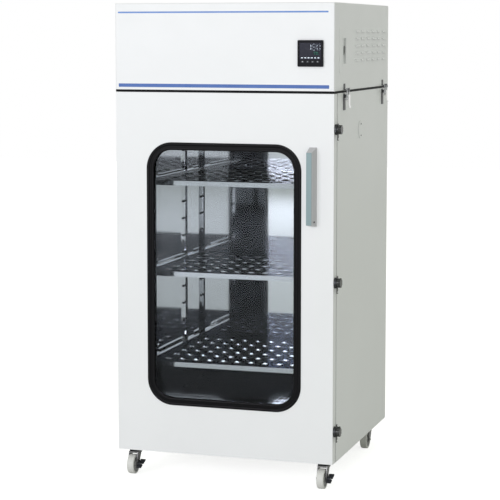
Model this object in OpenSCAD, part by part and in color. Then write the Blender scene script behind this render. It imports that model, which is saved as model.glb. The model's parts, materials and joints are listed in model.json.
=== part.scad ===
// Dry heat sterilizer: an insulated cabinet on casters, with a glazed door,
// a stainless chamber with three slotted shelves and a ventilated head that
// four toggle latches clamp down onto a gasket. Millimetres, +Z up.
// The origin is on the floor, under the middle of the whole object.
// Modules below place their pieces with y = 0 at the face of the closed door.

/* [Cabinet] */
// Width over the side panels
body_w = 850; // [840:10:1200]
// Depth from the face of the door to the back panel
body_d = 850; // [840:10:1100]
// Height from the bottom of the body to the head seam
body_h = 1375; // [1360:5:1700]
// Height of the head above the seam
head_h = 325; // [300:5:420]
// Clear height under the body, from the floor
clear_h = 100; // [96:1:120]
// Thickness of the painted sheet
sheet = 1.6; // [1.2:0.1:3]
// Thickness of the gasket under the head
gasket_t = 6; // [4:0.5:10]

/* [Chamber] */
// Side wall, from the outside of the case to the inside of the chamber
side_wall = 60; // [50:1:80]
// Rear wall, from the chamber to the outside of the case
rear_wall = 114; // [100:1:140]
// Height of the chamber floor above the bottom of the body
floor_wall = 60; // [40:1:80]
// Thickness of the stainless sheet
liner_t = 1.2; // [1:0.1:2.5]
// Width of the air duct behind the chamber
duct_gap = 35; // [20:1:50]
// Height of the plate over the chamber's front opening
header_h = 52; // [30:1:70]

/* [Shelves] */
// Number of shelves
shelf_count = 3; // [1:1:3]
// Height of the lowest shelf above the bottom of the body
shelf_low = 330; // [200:10:340]
// Distance between shelves
shelf_pitch = 350; // [200:10:350]
// Gap from the chamber wall to a shelf
shelf_side_gap = 28; // [26:1:40]
// Front edge of the shelves behind the face of the door
shelf_front = 110; // [90:1:140]
// Height of the lip folded down around a shelf
shelf_lip = 18; // [10:1:25]
// Length of a slot in a shelf
slot_l = 20; // [12:1:30]
// Width of a slot in a shelf
slot_w = 8; // [5:0.5:10]
// Distance between slots across the shelf
slot_pitch_x = 56; // [44:1:70]
// Distance between rows of slots
slot_pitch_y = 45; // [30:1:60]
// Width of the raised middle of an upright
upright_w = 74; // [50:1:90]
// How far an upright stands out from the wall
upright_out = 14; // [8:1:18]

/* [Door] */
// Thickness of the door
door_t = 42; // [36:1:60]
// Gap between the door and the front frame
door_gap = 6; // [5:0.5:9]
// Gap between the door and the head gasket
door_top_gap = 2; // [1:0.5:5]
// Distance from the door's edge to its pivot
pivot_in = 8; // [7:0.5:10]
// Diameter of a pivot pin
pivot_d = 8; // [6:0.5:10]

/* [Window] */
// Width over the window's rubber
window_w = 606; // [400:2:610]
// Height over the window's rubber
window_h = 1000; // [700:5:1040]
// Height of the window's middle above the bottom of the body
window_mid = 684; // [600:1:720]
// Width of the rubber round the window
rubber_w = 30; // [20:1:40]
// Outer corner radius of the rubber
rubber_r = 100; // [40:1:120]
// Thickness of a glass pane
glass_t = 5; // [4:0.5:8]

/* [Handle] */
// Length of the door handle
handle_l = 290; // [200:5:400]
// How far the handle stands out
handle_out = 38; // [30:1:50]
// Height of the handle's middle above the bottom of the body
handle_mid = 1030; // [800:5:1100]
// Distance from the door's edge to the handle's foot
handle_in = 64; // [55:1:80]
// Width of the handle's grip
grip_w = 20; // [16:1:24]
// How far the handle's upper end slopes down from the door to the grip
handle_slant = 18; // [0:1:30]
// How far its lower end slopes up from the door to the grip
foot_slant = 7; // [0:1:30]

/* [Latches] */
// Heights of the door latches above the bottom of the body
latch_z = [121, 677, 1240]; // [100:1:1260]
// Diameter of a latch knob
knob_d = 34; // [28:1:38]
// Distance from a latch's axis to its hooked stud
latch_reach = 33.6; // [33:0.2:42]
// Height of the stud above the latch's axis
stud_up = 10; // [0:1:14]
// Distances of the toggle latches behind the face of the door
toggle_y = [143, 751]; // [90:1:780]
// Length of a toggle's bail, from pivot to bar
bail_l = 40; // [36:1:48]
// Distance from the lever's pivot to the bail's pivot
bail_r = 12; // [10:0.5:14]
// Diameter of the bail's wire
bail_d = 5; // [4:0.5:6]
// Height of the lever's pivot below the seam
toggle_drop = 17; // [15:1:24]
// Distance of the lever's pivot from the side panel
toggle_out = 14; // [12:0.5:18]

/* [Head] */
// Columns of louvres in the access panel
louvre_cols = 6; // [2:1:8]
// Rows of louvres in the access panel
louvre_rows = 5; // [2:1:6]
// Distance between columns of louvres
louvre_pitch_y = 86; // [70:1:100]
// Distance between rows of louvres
louvre_pitch_z = 27; // [22:1:32]
// Length of a louvre
louvre_l = 60; // [40:1:66]
// Size of the square controller
control_size = 96; // [72:24:96]
// Distance from the head's right edge to the controller's middle
control_in = 89; // [60:1:140]
// Height of the controller's middle above the seam
control_up = 141; // [80:1:200]
// Diameter of the blower's impeller
impeller_d = 250; // [180:10:300]
// Number of blades on the impeller
blade_count = 9; // [6:1:12]

/* [Casters] */
// Diameter of a wheel
wheel_d = 75; // [60:1:75]
// Width of a wheel
wheel_w = 28; // [18:1:30]
// Distance from the side panel to a swivel axis
caster_in = 48; // [40:1:80]
// Distance from the face of the door to the front swivels
caster_front = 60; // [60:1:120]
// Distance from the face of the door to the rear swivels
caster_rear = 729; // [600:1:760]
// Distance from the swivel axis to the wheel's axle
caster_trail = 28; // [20:1:35]

/* [Hidden] */
$fn = 48;

// Colours
paint = [0.93, 0.94, 0.95];
steel = [0.78, 0.79, 0.8];
dark_steel = [0.4, 0.41, 0.43];
black = [0.08, 0.08, 0.09];
alloy = [0.62, 0.66, 0.68];
glass = [0.75, 0.85, 0.88, 0.35];
pale = [0.85, 0.85, 0.83];

// Gaps between pieces
run = 0.05;
clear = 0.3;
seam = 0.1;

// Heights of the main levels
z_body = clear_h;
z_seam = clear_h + body_h;
z_case = z_seam - gasket_t / 2;
z_head = z_seam + gasket_t / 2;
z_top = z_seam + head_h;
z_door = z_case - door_top_gap;
z_floor = z_body + floor_wall;

// Reaches from the middle of the cabinet and from the face of the door
half_w = body_w / 2;
in_w = half_w - sheet;
chamber_w = half_w - side_wall;
frame_y = door_t + door_gap;
liner_y = frame_y + sheet;
chamber_y = body_d - rear_wall;
duct_y = chamber_y + liner_t + duct_gap;
gland_out = 26;
front_y = (handle_out - body_d - gland_out) / 2;

// Points on an arc of radius r about c, from angle a0 to a1
function arc(c, r, a0, a1, n) =
    [for (i = [0:n]) c + r * [cos(a0 + (a1 - a0) * i / n), sin(a0 + (a1 - a0) * i / n)]];

// Outline of a w by h rectangle about the origin with corners of radius r
function rounded(w, h, r, n = 8) = concat(
    arc([w / 2 - r, h / 2 - r], r, 0, 90, n),
    arc([r - w / 2, h / 2 - r], r, 90, 180, n),
    arc([r - w / 2, r - h / 2], r, 180, 270, n),
    arc([w / 2 - r, r - h / 2], r, 270, 360, n)
);

// Block between two opposite corners
module box(lo, hi) {
    translate(lo)
        cube(hi - lo);
}

// Stands a flat outline up to face the front, with its front face at y
module upright(y, t) {
    translate([0, y + t, 0])
        rotate([90, 0, 0])
            linear_extrude(t)
                children();
}

// Stands a flat outline up to face the side: its x runs back and its y up
module sideways(x, t) {
    translate([x, 0, 0])
        rotate([90, 0, 90])
            linear_extrude(t)
                children();
}

// Round bar along X from x0 to x1
module bar_x(x0, x1, d) {
    translate([x0, 0, 0])
        rotate([0, 90, 0])
            cylinder(d = d, h = x1 - x0);
}

// Round bar along Y from y0 to y1
module bar_y(y0, y1, d) {
    translate([0, y1, 0])
        rotate([90, 0, 0])
            cylinder(d = d, h = y1 - y0);
}

// Copies its pieces to both sides of the cabinet
module both_sides() {
    children();
    mirror([1, 0, 0])
        children();
}

// Moves pieces from the door's face to the part's own frame
module placed() {
    translate([0, front_y, 0])
        children();
}

// Case

port_y = 392;
port_z = z_body + 1221;
port_d = 50;
fold = 20;

module case_panels() {
    color(paint) {
        difference() {
            box([in_w, frame_y, z_body], [half_w, body_d, z_case]);
            translate([0, port_y, port_z])
                bar_x(in_w - 1, half_w + 1, port_d);
        }
        box([-half_w, frame_y, z_body], [-in_w, body_d, z_case]);
        box([seam - in_w, body_d - sheet, z_body], [in_w - seam, body_d, z_case]);
    }
}

strip_t = 3;
strip_w = 90;

// Floor of the case, with a thick strip down each side that the casters bolt to
module base_pan() {
    color(paint) {
        box([-in_w, frame_y, z_body], [in_w, body_d - sheet, z_body + sheet]);
        both_sides()
            box([in_w - strip_w, frame_y, z_body - strip_t], [in_w, body_d - sheet, z_body]);
    }
}

module insulation() {
    y0 = frame_y + sheet + fold;
    z0 = z_body + sheet;
    liner_out = chamber_w + liner_t;
    color(pale) {
        difference() {
            box([liner_out, y0, z0], [in_w, duct_y + liner_t, z_case]);
            translate([0, port_y, port_z])
                bar_x(liner_out - 1, in_w + 1, port_d);
        }
        box([-in_w, y0, z0], [-liner_out, duct_y + liner_t, z_case]);
        box([seam - liner_out, y0, z0], [liner_out - seam, duct_y + liner_t, z_floor - liner_t]);
        box([-in_w, duct_y + liner_t + seam, z0], [in_w, body_d - sheet, z_case]);
    }
}

// Chamber: side walls, rear wall, duct back and floor

return_slots = 21;
return_pitch = 30;
return_z = 75;
return_w = 8;
return_h = 50;

module inner_chamber() {
    liner_out = chamber_w + liner_t;
    wide = chamber_w - seam;
    color(steel) {
        difference() {
            box([chamber_w, liner_y, z_floor - liner_t], [liner_out, duct_y + liner_t, z_case]);
            translate([0, port_y, port_z])
                bar_x(chamber_w - 1, liner_out + 1, port_d);
        }
        box([-liner_out, liner_y, z_floor - liner_t], [-chamber_w, duct_y + liner_t, z_case]);
        box([-wide, liner_y, z_floor - liner_t], [wide, duct_y - seam, z_floor]);
        box([-wide, duct_y, z_floor - liner_t], [wide, duct_y + liner_t, z_case]);
        upright(chamber_y, liner_t)
            difference() {
                translate([-wide, z_floor + seam])
                    square([2 * wide, z_case - z_floor - seam]);
                for (i = [0:return_slots - 1])
                    translate([(i - (return_slots - 1) / 2) * return_pitch, z_floor + return_z])
                        polygon(rounded(return_w, return_h, return_w / 2 - 0.1));
            }
    }
}

// Folded plates round the chamber's front opening
module front_frame() {
    wide = chamber_w - seam;
    color(steel) {
        both_sides() {
            box([chamber_w, frame_y, z_body + sheet], [in_w, liner_y, z_case]);
            box([in_w - sheet, liner_y, z_body + sheet], [in_w, liner_y + fold, z_case]);
        }
        box([-wide, frame_y, z_body + sheet], [wide, liner_y, z_floor]);
        box([-wide, frame_y, z_case - header_h], [wide, liner_y, z_case]);
        box([-wide, liner_y, z_case - sheet], [wide, liner_y + fold, z_case]);
    }
}

// Shelves

upright_y = [216, 627];
upright_flange = 30;
upright_hole = 10;
upright_pitch = 70;
upright_foot = 40;
rail_t = 2;
rail_h = 24;
rail_foot = 24;
rail_front = shelf_front + 12;
rail_back = chamber_y - 6;
shelf_t = 2;
shelf_back = chamber_y - 8;

function shelf_z(i) = z_body + shelf_low + i * shelf_pitch;

// Hat section, open towards the wall, with a hole every pitch in both flanges
module shelf_upright(y) {
    z0 = z_floor + upright_foot;
    z1 = z_case - upright_foot;
    half = upright_w / 2;
    wing = half + upright_flange;
    t = liner_t;
    difference() {
        translate([0, y, z0])
            linear_extrude(z1 - z0)
                polygon([
                    [chamber_w, -wing], [chamber_w - t, -wing], [chamber_w - t, -half],
                    [chamber_w - upright_out, -half + t], [chamber_w - upright_out, half - t],
                    [chamber_w - t, half], [chamber_w - t, wing], [chamber_w, wing],
                    [chamber_w, half - t], [chamber_w - upright_out + t, half - 2 * t],
                    [chamber_w - upright_out + t, 2 * t - half], [chamber_w, t - half]
                ]);
        for (side = [-1, 1], z = [z0 + upright_pitch / 2:upright_pitch:z1 - upright_pitch / 4])
            translate([0, y + side * (half + upright_flange / 2), z])
                bar_x(chamber_w - 2 * t, chamber_w + t, upright_hole);
    }
}

// Z section that leans on the uprights and carries one side of a shelf
module shelf_rail(z) {
    out = chamber_w - upright_out;
    web = chamber_w - shelf_side_gap + rail_t;
    upright(rail_front, rail_back - rail_front)
        translate([0, z])
            polygon([
                [out, 0], [web - rail_t, 0], [web - rail_t, -rail_h + rail_t],
                [web - rail_foot, -rail_h + rail_t], [web - rail_foot, -rail_h],
                [web, -rail_h], [web, -rail_t], [out, -rail_t]
            ]);
}

module shelf_supports() {
    color(steel)
        both_sides() {
            for (y = upright_y)
                shelf_upright(y);
            for (i = [0:shelf_count - 1])
                shelf_rail(shelf_z(i) - shelf_lip + rail_h - rail_t);
        }
}

// Slotted tray with its edges folded down
module shelf(i) {
    half = chamber_w - shelf_side_gap - clear;
    depth = shelf_back - shelf_front;
    cols = floor((half - slot_l) / slot_pitch_x);
    rows = floor((depth - 2 * slot_pitch_y / 2) / slot_pitch_y);
    y_mid = (shelf_front + shelf_back) / 2;
    z = shelf_z(i);
    color(steel) {
        translate([0, 0, z - shelf_t])
            linear_extrude(shelf_t)
                difference() {
                    translate([-half, shelf_front])
                        square([2 * half, depth]);
                    for (r = [0:rows - 1], c = [-cols:cols]) {
                        x = (c + (r % 2) / 2) * slot_pitch_x;
                        if (abs(x) < half - slot_l)
                            translate([x, y_mid + (r - (rows - 1) / 2) * slot_pitch_y])
                                polygon(rounded(slot_l, slot_w, slot_w / 2 - 0.1, 2));
                    }
                }
        box([-half, shelf_front, z - shelf_lip], [half, shelf_front + shelf_t, z - shelf_t]);
        box([-half, shelf_back - shelf_t, z - shelf_lip], [half, shelf_back, z - shelf_t]);
        both_sides()
            box([half - shelf_t, shelf_front + shelf_t, z - shelf_lip],
                [half, shelf_back - shelf_t, z - shelf_t]);
    }
}

module shelf_bottom() {
    shelf(0);
}

module shelf_middle() {
    shelf(1);
}

module shelf_top() {
    shelf(2);
}

// Head

front_r = 4;
rear_r = 10;
return_l = 22;
filter_w = 305;
filter_y = [95, 705];
filter_h = 69;
filter_lip = 12;
duct_w = chamber_w - 30;
gasket_in = 1;
gasket_band = 24;

module head_gasket() {
    color(black)
        translate([0, 0, z_case])
            linear_extrude(gasket_t)
                difference() {
                    translate([gasket_in - half_w, gasket_in])
                        square([2 * (half_w - gasket_in), body_d - 2 * gasket_in]);
                    translate([-chamber_w, liner_y + fold])
                        square([2 * chamber_w, chamber_y - liner_y - fold]);
                    translate([-duct_w, chamber_y + liner_t])
                        square([2 * duct_w, duct_gap]);
                    translate([-in_w + gasket_band, gasket_band])
                        square([2 * (in_w - gasket_band), frame_y - 2 - gasket_band]);
                }
}

module head_floor() {
    color(steel)
        translate([0, 0, z_head])
            linear_extrude(sheet)
                difference() {
                    translate([-in_w, sheet])
                        square([2 * in_w, body_d - 2 * sheet]);
                    translate([filter_lip - filter_w, filter_y[0] + filter_lip])
                        square([2 * (filter_w - filter_lip), filter_y[1] - filter_y[0] - 2 * filter_lip]);
                    translate([-duct_w, chamber_y + liner_t])
                        square([2 * duct_w, duct_gap]);
                }
}

control_x = half_w - control_in;
control_z = z_seam + control_up;
control_cut = control_size - 4;

// Front of the head, folded back over the top
module head_front() {
    outline = concat(
        [[0, z_head]], arc([front_r, z_top - front_r], front_r, 180, 90, 6),
        [[return_l, z_top], [return_l, z_top - sheet]],
        arc([front_r, z_top - front_r], front_r - sheet, 90, 180, 6), [[sheet, z_head]]
    );
    color(paint)
        difference() {
            sideways(seam - in_w, 2 * (in_w - seam))
                polygon(outline);
            box([control_x - control_cut / 2, -1, control_z - control_cut / 2],
                [control_x + control_cut / 2, sheet + 1, control_z + control_cut / 2]);
        }
}

// Top, back and sides of the head
module head_panels() {
    back = body_d - return_l;
    centre = [body_d - rear_r, z_top - rear_r];
    outline = concat(
        [[back, z_top]], arc(centre, rear_r, 90, 0, 8),
        [[body_d, z_head], [body_d - sheet, z_head]],
        arc(centre, rear_r - sheet, 0, 90, 8), [[back, z_top - sheet]]
    );
    color(paint) {
        box([seam - in_w, return_l + seam, z_top - sheet], [in_w - seam, back - seam, z_top]);
        difference() {
            sideways(seam - in_w, 2 * (in_w - seam))
                polygon(outline);
            translate([gland_x, 0, gland_z])
                bar_y(back, body_d + 1, gland_d);
        }
        head_side(in_w);
        head_side(-half_w);
    }
}

panel_y = [70, 815];
panel_z = [z_seam + 67, z_seam + 236];
panel_t = 1.2;
panel_lap = 8;
panel_r = 12;

module head_side(x) {
    outline = concat(
        [[0, z_head], [body_d, z_head]],
        arc([body_d - rear_r, z_top - rear_r], rear_r, 0, 90, 8),
        arc([front_r, z_top - front_r], front_r, 90, 180, 6)
    );
    sideways(x, sheet)
        difference() {
            polygon(outline);
            if (x > 0)
                translate([panel_y[0] + panel_lap, panel_z[0] + panel_lap])
                    square([panel_y[1] - panel_y[0] - 2 * panel_lap,
                            panel_z[1] - panel_z[0] - 2 * panel_lap]);
        }
}

recess_y = 140;
recess_z = z_seam + 149;
recess_w = 42;
recess_h = 96;
recess_depth = 14;
recess_t = 1.2;
recess_rim = 6;
louvre_mid_y = 550;
louvre_mid_z = z_seam + 168;
louvre_out = 5;
louvre_h = 9;
louvre_t = 1;

// Hood of one louvre: a curved strip over its slot, with closed ends
module louvre() {
    shell = concat(
        arc([0, 0], louvre_h, 90, 0, 5), arc([0, 0], louvre_h - louvre_t, 0, 90, 5)
    );
    squash = louvre_out / louvre_h;
    full = [for (p = shell) [p[0] * squash, p[1]]];
    side = [for (p = concat([[0, 0]], arc([0, 0], louvre_h, 90, 0, 5))) [p[0] * squash, p[1]]];
    translate([0, louvre_l / 2, 0])
        rotate([90, 0, 0]) {
            linear_extrude(louvre_l)
                polygon(full);
            linear_extrude(louvre_t)
                polygon(side);
            translate([0, 0, louvre_l - louvre_t])
                linear_extrude(louvre_t)
                    polygon(side);
        }
}

// Louvred cover screwed over the opening in the right side of the head
module access_panel() {
    mid = [(panel_y[0] + panel_y[1]) / 2, (panel_z[0] + panel_z[1]) / 2];
    size = [panel_y[1] - panel_y[0], panel_z[1] - panel_z[0]];
    color(paint) {
        sideways(half_w, panel_t)
            difference() {
                translate(mid)
                    polygon(rounded(size[0], size[1], panel_r));
                translate([recess_y - recess_w / 2, recess_z - recess_h / 2])
                    square([recess_w, recess_h]);
                for (c = [0:louvre_cols - 1], r = [0:louvre_rows - 1])
                    translate(louvre_at(c, r) - [louvre_l / 2 - louvre_t, 0])
                        square([louvre_l - 2 * louvre_t, louvre_h - louvre_t]);
            }
        for (c = [0:louvre_cols - 1], r = [0:louvre_rows - 1])
            translate([half_w + panel_t - clear, louvre_at(c, r)[0], louvre_at(c, r)[1]])
                louvre();
    }
}

function louvre_at(c, r) = [
    louvre_mid_y + (c - (louvre_cols - 1) / 2) * louvre_pitch_y,
    louvre_mid_z + (r - (louvre_rows - 1) / 2) * louvre_pitch_z - louvre_h / 2
];

ring_pivot = recess_z + 15;
ring_x = half_w - 5;
ring_d = 5;
ring_t = 4;
ring_w = 34;
ring_drop = 32;

// Shallow pressed pan set in the access panel
module recess_pan() {
    front = half_w + panel_t;
    back = half_w - recess_depth;
    size = [recess_w + 2 * recess_rim, recess_h + 2 * recess_rim];
    hole = [recess_w - 2 * recess_t - clear, recess_h - 2 * recess_t - clear];
    outer = [recess_w - clear, recess_h - clear];
    color(paint)
        difference() {
            union() {
                sideways(front, recess_t)
                    translate([recess_y, recess_z])
                        polygon(rounded(size[0], size[1], recess_rim));
                sideways(back, front - back)
                    translate([recess_y, recess_z])
                        square(outer, center = true);
            }
            sideways(back + recess_t, front - back + 1)
                translate([recess_y, recess_z])
                    square(hole, center = true);
            translate([ring_x, recess_y, ring_pivot])
                bar_y(-recess_w, recess_w, ring_d + 2 * run);
        }
}

// D-shaped pull that folds flat into the pan
module pull_ring() {
    r = ring_w / 2;
    legs = ring_drop - r;
    outer = concat(
        [[r, 0], [-r, 0]], arc([0, -legs], r, 180, 360, 12)
    );
    inner = concat(
        [[r - ring_d, -ring_d / 2], [ring_d - r, -ring_d / 2]],
        arc([0, -legs], r - ring_d, 180, 360, 12)
    );
    color(dark_steel)
        translate([ring_x, recess_y, ring_pivot]) {
            sideways(-ring_t / 2, ring_t)
                difference() {
                    polygon(outer);
                    polygon(inner);
                }
            bar_y(clear - recess_w / 2, recess_w / 2 - clear, ring_d);
        }
}

// Air handling inside the head

media_in = 8;
media_t = 4;
pleat_count = 32;

// Filter: a deep frame round one sheet of media folded into pleats
module hepa_filter() {
    z0 = z_head + sheet;
    x = filter_w - filter_lip;
    y = [filter_y[0] + filter_lip, filter_y[1] - filter_lip];
    low = z0 + media_in;
    high = z0 + filter_h - media_in - media_t;
    folds = [for (i = [0:2 * pleat_count]) [(i / pleat_count - 1) * (x + 1), i % 2 == 0 ? low : high]];
    color(alloy) {
        difference() {
            box([-filter_w, filter_y[0], z0], [filter_w, filter_y[1], z0 + filter_h]);
            box([-x, y[0], z0 - 1], [x, y[1], z0 + filter_h + 1]);
        }
        upright(y[0] - 1, y[1] - y[0] + 2)
            polygon(concat(folds, [for (i = [2 * pleat_count:-1:0]) folds[i] + [0, media_t]]));
    }
}

fan_y = (filter_y[0] + filter_y[1]) / 2;
plenum_z = z_head + sheet + filter_h;
plenum_h = 84;
plenum_top = plenum_z + plenum_h;
inlet_r = 85;
inlet_rim = 8;
fan_z = plenum_z + 12;
fan_h = 56;
shaft_d = 16;

// Closed box over the filter, with the blower's inlet ring in its top
module plenum_box() {
    color(steel)
        difference() {
            union() {
                box([-filter_w, filter_y[0], plenum_z], [filter_w, filter_y[1], plenum_top]);
                translate([0, fan_y, plenum_top])
                    cylinder(r = inlet_r + inlet_rim, h = inlet_rim / 2);
            }
            box([sheet - filter_w, filter_y[0] + sheet, plenum_z - 1],
                [filter_w - sheet, filter_y[1] - sheet, plenum_top - sheet]);
            translate([0, fan_y, plenum_top - sheet - 1])
                cylinder(r = inlet_r, h = 10);
        }
}

motor_z = plenum_top + 34;
motor_d = 110;
motor_h = 100;
fin_step = 30;
fin_out = 5;
fin_t = 3;
fin_end = 8;
bridge_w = 30;
bridge_t = 4;
bridge_l = 2 * inlet_r + 60;

// Motor on a bridge over the inlet, with its shaft down to the impeller
module blower_motor() {
    color(dark_steel)
        translate([0, fan_y, 0]) {
            translate([0, 0, motor_z]) {
                cylinder(d = motor_d, h = motor_h);
                for (a = [0:fin_step:359])
                    rotate(a)
                        box([motor_d / 2 - 1, -fin_t / 2, fin_end],
                            [motor_d / 2 + fin_out, fin_t / 2, motor_h - fin_end]);
            }
            box([-bridge_l / 2, -bridge_w / 2, motor_z - bridge_t], [bridge_l / 2, bridge_w / 2, motor_z]);
            both_sides()
                box([bridge_l / 2 - bridge_t, -bridge_w / 2, plenum_top],
                    [bridge_l / 2, bridge_w / 2, motor_z]);
            translate([0, 0, fan_z + hub_floor + clear])
                cylinder(d = shaft_d, h = motor_z - fan_z - hub_floor - clear);
        }
}

hub_d = 40;
hub_h = 30;
hub_floor = 8;
disc_t = 3;
blade_t = 3;
blade_in = 90;
blade_lean = 32;

// Point on a blade's middle line, s of the way out and offset sideways
function blade_point(s, offset) =
    let (
        r = blade_in + (impeller_d / 2 - 2 - blade_in) * s,
        a = -blade_lean * s + offset / r * 180 / PI
    )
    r * [cos(a), sin(a)];

// Backward-curved blade, standing on the disc
module blade() {
    steps = 6;
    linear_extrude(fan_h - 1)
        polygon(concat(
            [for (i = [0:steps]) blade_point(i / steps, blade_t / 2)],
            [for (i = [steps:-1:0]) blade_point(i / steps, -blade_t / 2)]
        ));
}

// Disc, hub, blades and shroud ring
module blower_impeller() {
    r = impeller_d / 2;
    color(steel)
        translate([0, fan_y, fan_z]) {
            difference() {
                union() {
                    cylinder(r = r, h = disc_t);
                    cylinder(d = hub_d, h = hub_h);
                }
                translate([0, 0, hub_floor])
                    cylinder(d = shaft_d + 2 * run, h = hub_h);
            }
            for (i = [0:blade_count - 1])
                rotate(i * 360 / blade_count)
                    translate([0, 0, disc_t - 1])
                        blade();
            translate([0, 0, fan_h])
                difference() {
                    cylinder(r = r, h = disc_t);
                    translate([0, 0, -1])
                        cylinder(r = inlet_r + 1, h = disc_t + 2);
                }
        }
}

heater_r = [150, 170];
heater_d = 9;
post_t = 4;
post_over = 8;

// Two rings of heating tube round the impeller, on posts from the plenum's top
module air_heater() {
    z = fan_z + fan_h / 2;
    color(dark_steel)
        translate([0, fan_y, 0]) {
            for (r = heater_r)
                translate([0, 0, z])
                    rotate_extrude()
                        translate([r, 0])
                            circle(d = heater_d, $fn = 24);
            for (a = [45:90:315])
                rotate(a)
                    box([heater_r[0] - post_over, -post_t / 2, z],
                        [heater_r[1] + post_over, post_t / 2, plenum_top - sheet]);
        }
}

// Controller

bezel_out = 7;
control_depth = 62;
key_w = 12;
key_h = 7;
key_travel = 0.8;
key_gap = 0.25;
key_x = [-28.5, -9.5, 9.5, 28.5];
key_z = -30;
key_out = 1.6;

function key_at(i) = [control_x + key_x[i], -bezel_out, control_z + key_z];

bezel_r = 3;
screen_in = 7;
screen_up = 8;
screen_low = 10;
screen_depth = 1.2;
key_pocket = 5;
key_root = 3.4;

module controller_case() {
    screen = [control_size - 2 * screen_in, control_size - 2 * (screen_in + screen_low)];
    color(black)
        difference() {
            union() {
                upright(-bezel_out, bezel_out)
                    translate([control_x, control_z])
                        polygon(rounded(control_size, control_size, bezel_r));
                upright(0, control_depth)
                    translate([control_x, control_z])
                        square(control_cut - 2 * clear, center = true);
            }
            upright(-bezel_out - 1, screen_depth + 1)
                translate([control_x, control_z + screen_up])
                    polygon(rounded(screen[0], screen[1], bezel_r - 1));
            for (i = [0:3])
                translate(key_at(i) + [0, -1, 0])
                    rotate([-90, 0, 0])
                        linear_extrude(key_pocket + 1)
                            square([key_w + 2 * key_gap, key_h + 2 * key_gap], center = true);
        }
}

module controller_key(i) {
    color(pale)
        translate(key_at(i) + [0, -key_out, 0])
            rotate([-90, 0, 0])
                linear_extrude(key_out + key_root)
                    square([key_w, key_h], center = true);
}

// Port and gland

cover_d = 66;
cover_t = 3;
sleeve_t = 3;

module port_cover() {
    translate([0, port_y, port_z]) {
        color(steel)
            difference() {
                bar_x(chamber_w, half_w, port_d - 2 * run);
                bar_x(chamber_w - 1, half_w + 1, port_d - 2 * sleeve_t);
            }
        color(paint)
            bar_x(half_w, half_w + cover_t, cover_d);
    }
}

gland_x = 300;
gland_z = z_seam + 90;
gland_d = 25;
gland_bore = 14;
gland_flange = 34;
gland_flange_t = 8;
gland_nut = 28;
gland_nut_t = 12;
gland_root = 8;

module cable_gland() {
    color(black)
        translate([gland_x, body_d, gland_z])
            difference() {
                union() {
                    bar_y(-sheet - gland_root, 1, gland_d - 2 * run);
                    bar_y(0, gland_flange_t, gland_flange);
                    bar_y(gland_flange_t, gland_flange_t + gland_nut_t, gland_nut);
                    rotate([-90, 0, 0])
                        translate([0, 0, gland_flange_t + gland_nut_t])
                            cylinder(d1 = gland_nut, d2 = gland_d - 5,
                                     h = gland_out - gland_flange_t - gland_nut_t);
                }
                bar_y(-sheet - gland_root - 1, gland_out + 1, gland_bore);
            }
}

// Toggle latches

toggle_z = z_seam - toggle_drop;
toggle_w = 28;
cheek_y = 10;
cheek_t = 2;
ear_t = 2;
pin_d = 5;
bail_y = cheek_y + 0.7 + bail_d / 2;
lever_l = 40;
lever_top = 6;
cam_back = 4;
cam_low = 24;
tip_l = 10;
tip_lean = 22;
web_u = 5;
web_t = 2;
plate_t = 2;
base_low = 52;
base_high = 9;

// Places a latch: 1 and 2 are front and rear on the right, 3 and 4 on the left
module at_toggle(k) {
    side = k < 3 ? 0 : 1;
    mirror([side, 0, 0])
        translate([half_w + toggle_out, toggle_y[(k - 1) % 2], toggle_z])
            children();
}

// Base plate with two ears that carry the lever's pin
module toggle_base() {
    wall = -toggle_out;
    ear = [
        [wall, -1.4 * pin_d], [0, -pin_d], [cam_back, -pin_d / 2],
        [cam_back, pin_d / 2], [0, pin_d], [wall, pin_d]
    ];
    box([wall, -toggle_w / 2, -base_low], [wall + plate_t, toggle_w / 2, base_high]);
    for (side = [-1, 1])
        upright(side * (cheek_y - cheek_t - clear - ear_t / 2) - ear_t / 2, ear_t)
            polygon(ear);
    bar_y(-cheek_y, cheek_y, pin_d);
}

module toggle_bases() {
    color(steel)
        for (k = [1:4])
            at_toggle(k)
                toggle_base();
}

// Channel-shaped lever, hanging down from its pin when the latch is closed
module toggle_lever(k) {
    low = lever_top - lever_l;
    cheek = [
        [-cam_back, lever_top], [web_u + web_t, lever_top], [web_u + web_t, low],
        [web_u, low], [web_u, -cam_low], [-cam_back, -bail_r - bail_d]
    ];
    hole = pin_d + 2 * run;
    color(steel)
        at_toggle(k) {
            difference() {
                for (side = [0, 1])
                    mirror([0, side, 0])
                        upright(cheek_y - cheek_t, cheek_t)
                            polygon(cheek);
                bar_y(-toggle_w, toggle_w, hole);
                translate([0, 0, -bail_r])
                    bar_y(-toggle_w, toggle_w, bail_d + 2 * run);
            }
            box([web_u, -cheek_y + cheek_t, low], [web_u + web_t, cheek_y - cheek_t, lever_top]);
            translate([web_u, 0, low])
                rotate([0, -tip_lean, 0])
                    box([0, -cheek_y, -tip_l], [web_t, cheek_y, 0.5]);
        }
}

// Wire bail: two legs, a bar that hooks behind the keeper and two pivot stubs
module toggle_bail(k) {
    color(steel)
        at_toggle(k)
            translate([0, 0, -bail_r]) {
                translate([0, 0, bail_l])
                    bar_y(-bail_y - bail_d / 2, bail_y + bail_d / 2, bail_d);
                for (side = [0, 1])
                    mirror([0, side, 0]) {
                        translate([0, bail_y, 0])
                            cylinder(d = bail_d - 0.2, h = bail_l);
                        bar_y(cheek_y - cheek_t, bail_y + bail_d / 2, bail_d);
                    }
            }
}

trough_gap = 1.2;
trough_t = 2.4;
trough_lip = 4;
keeper_high = 20;

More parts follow.
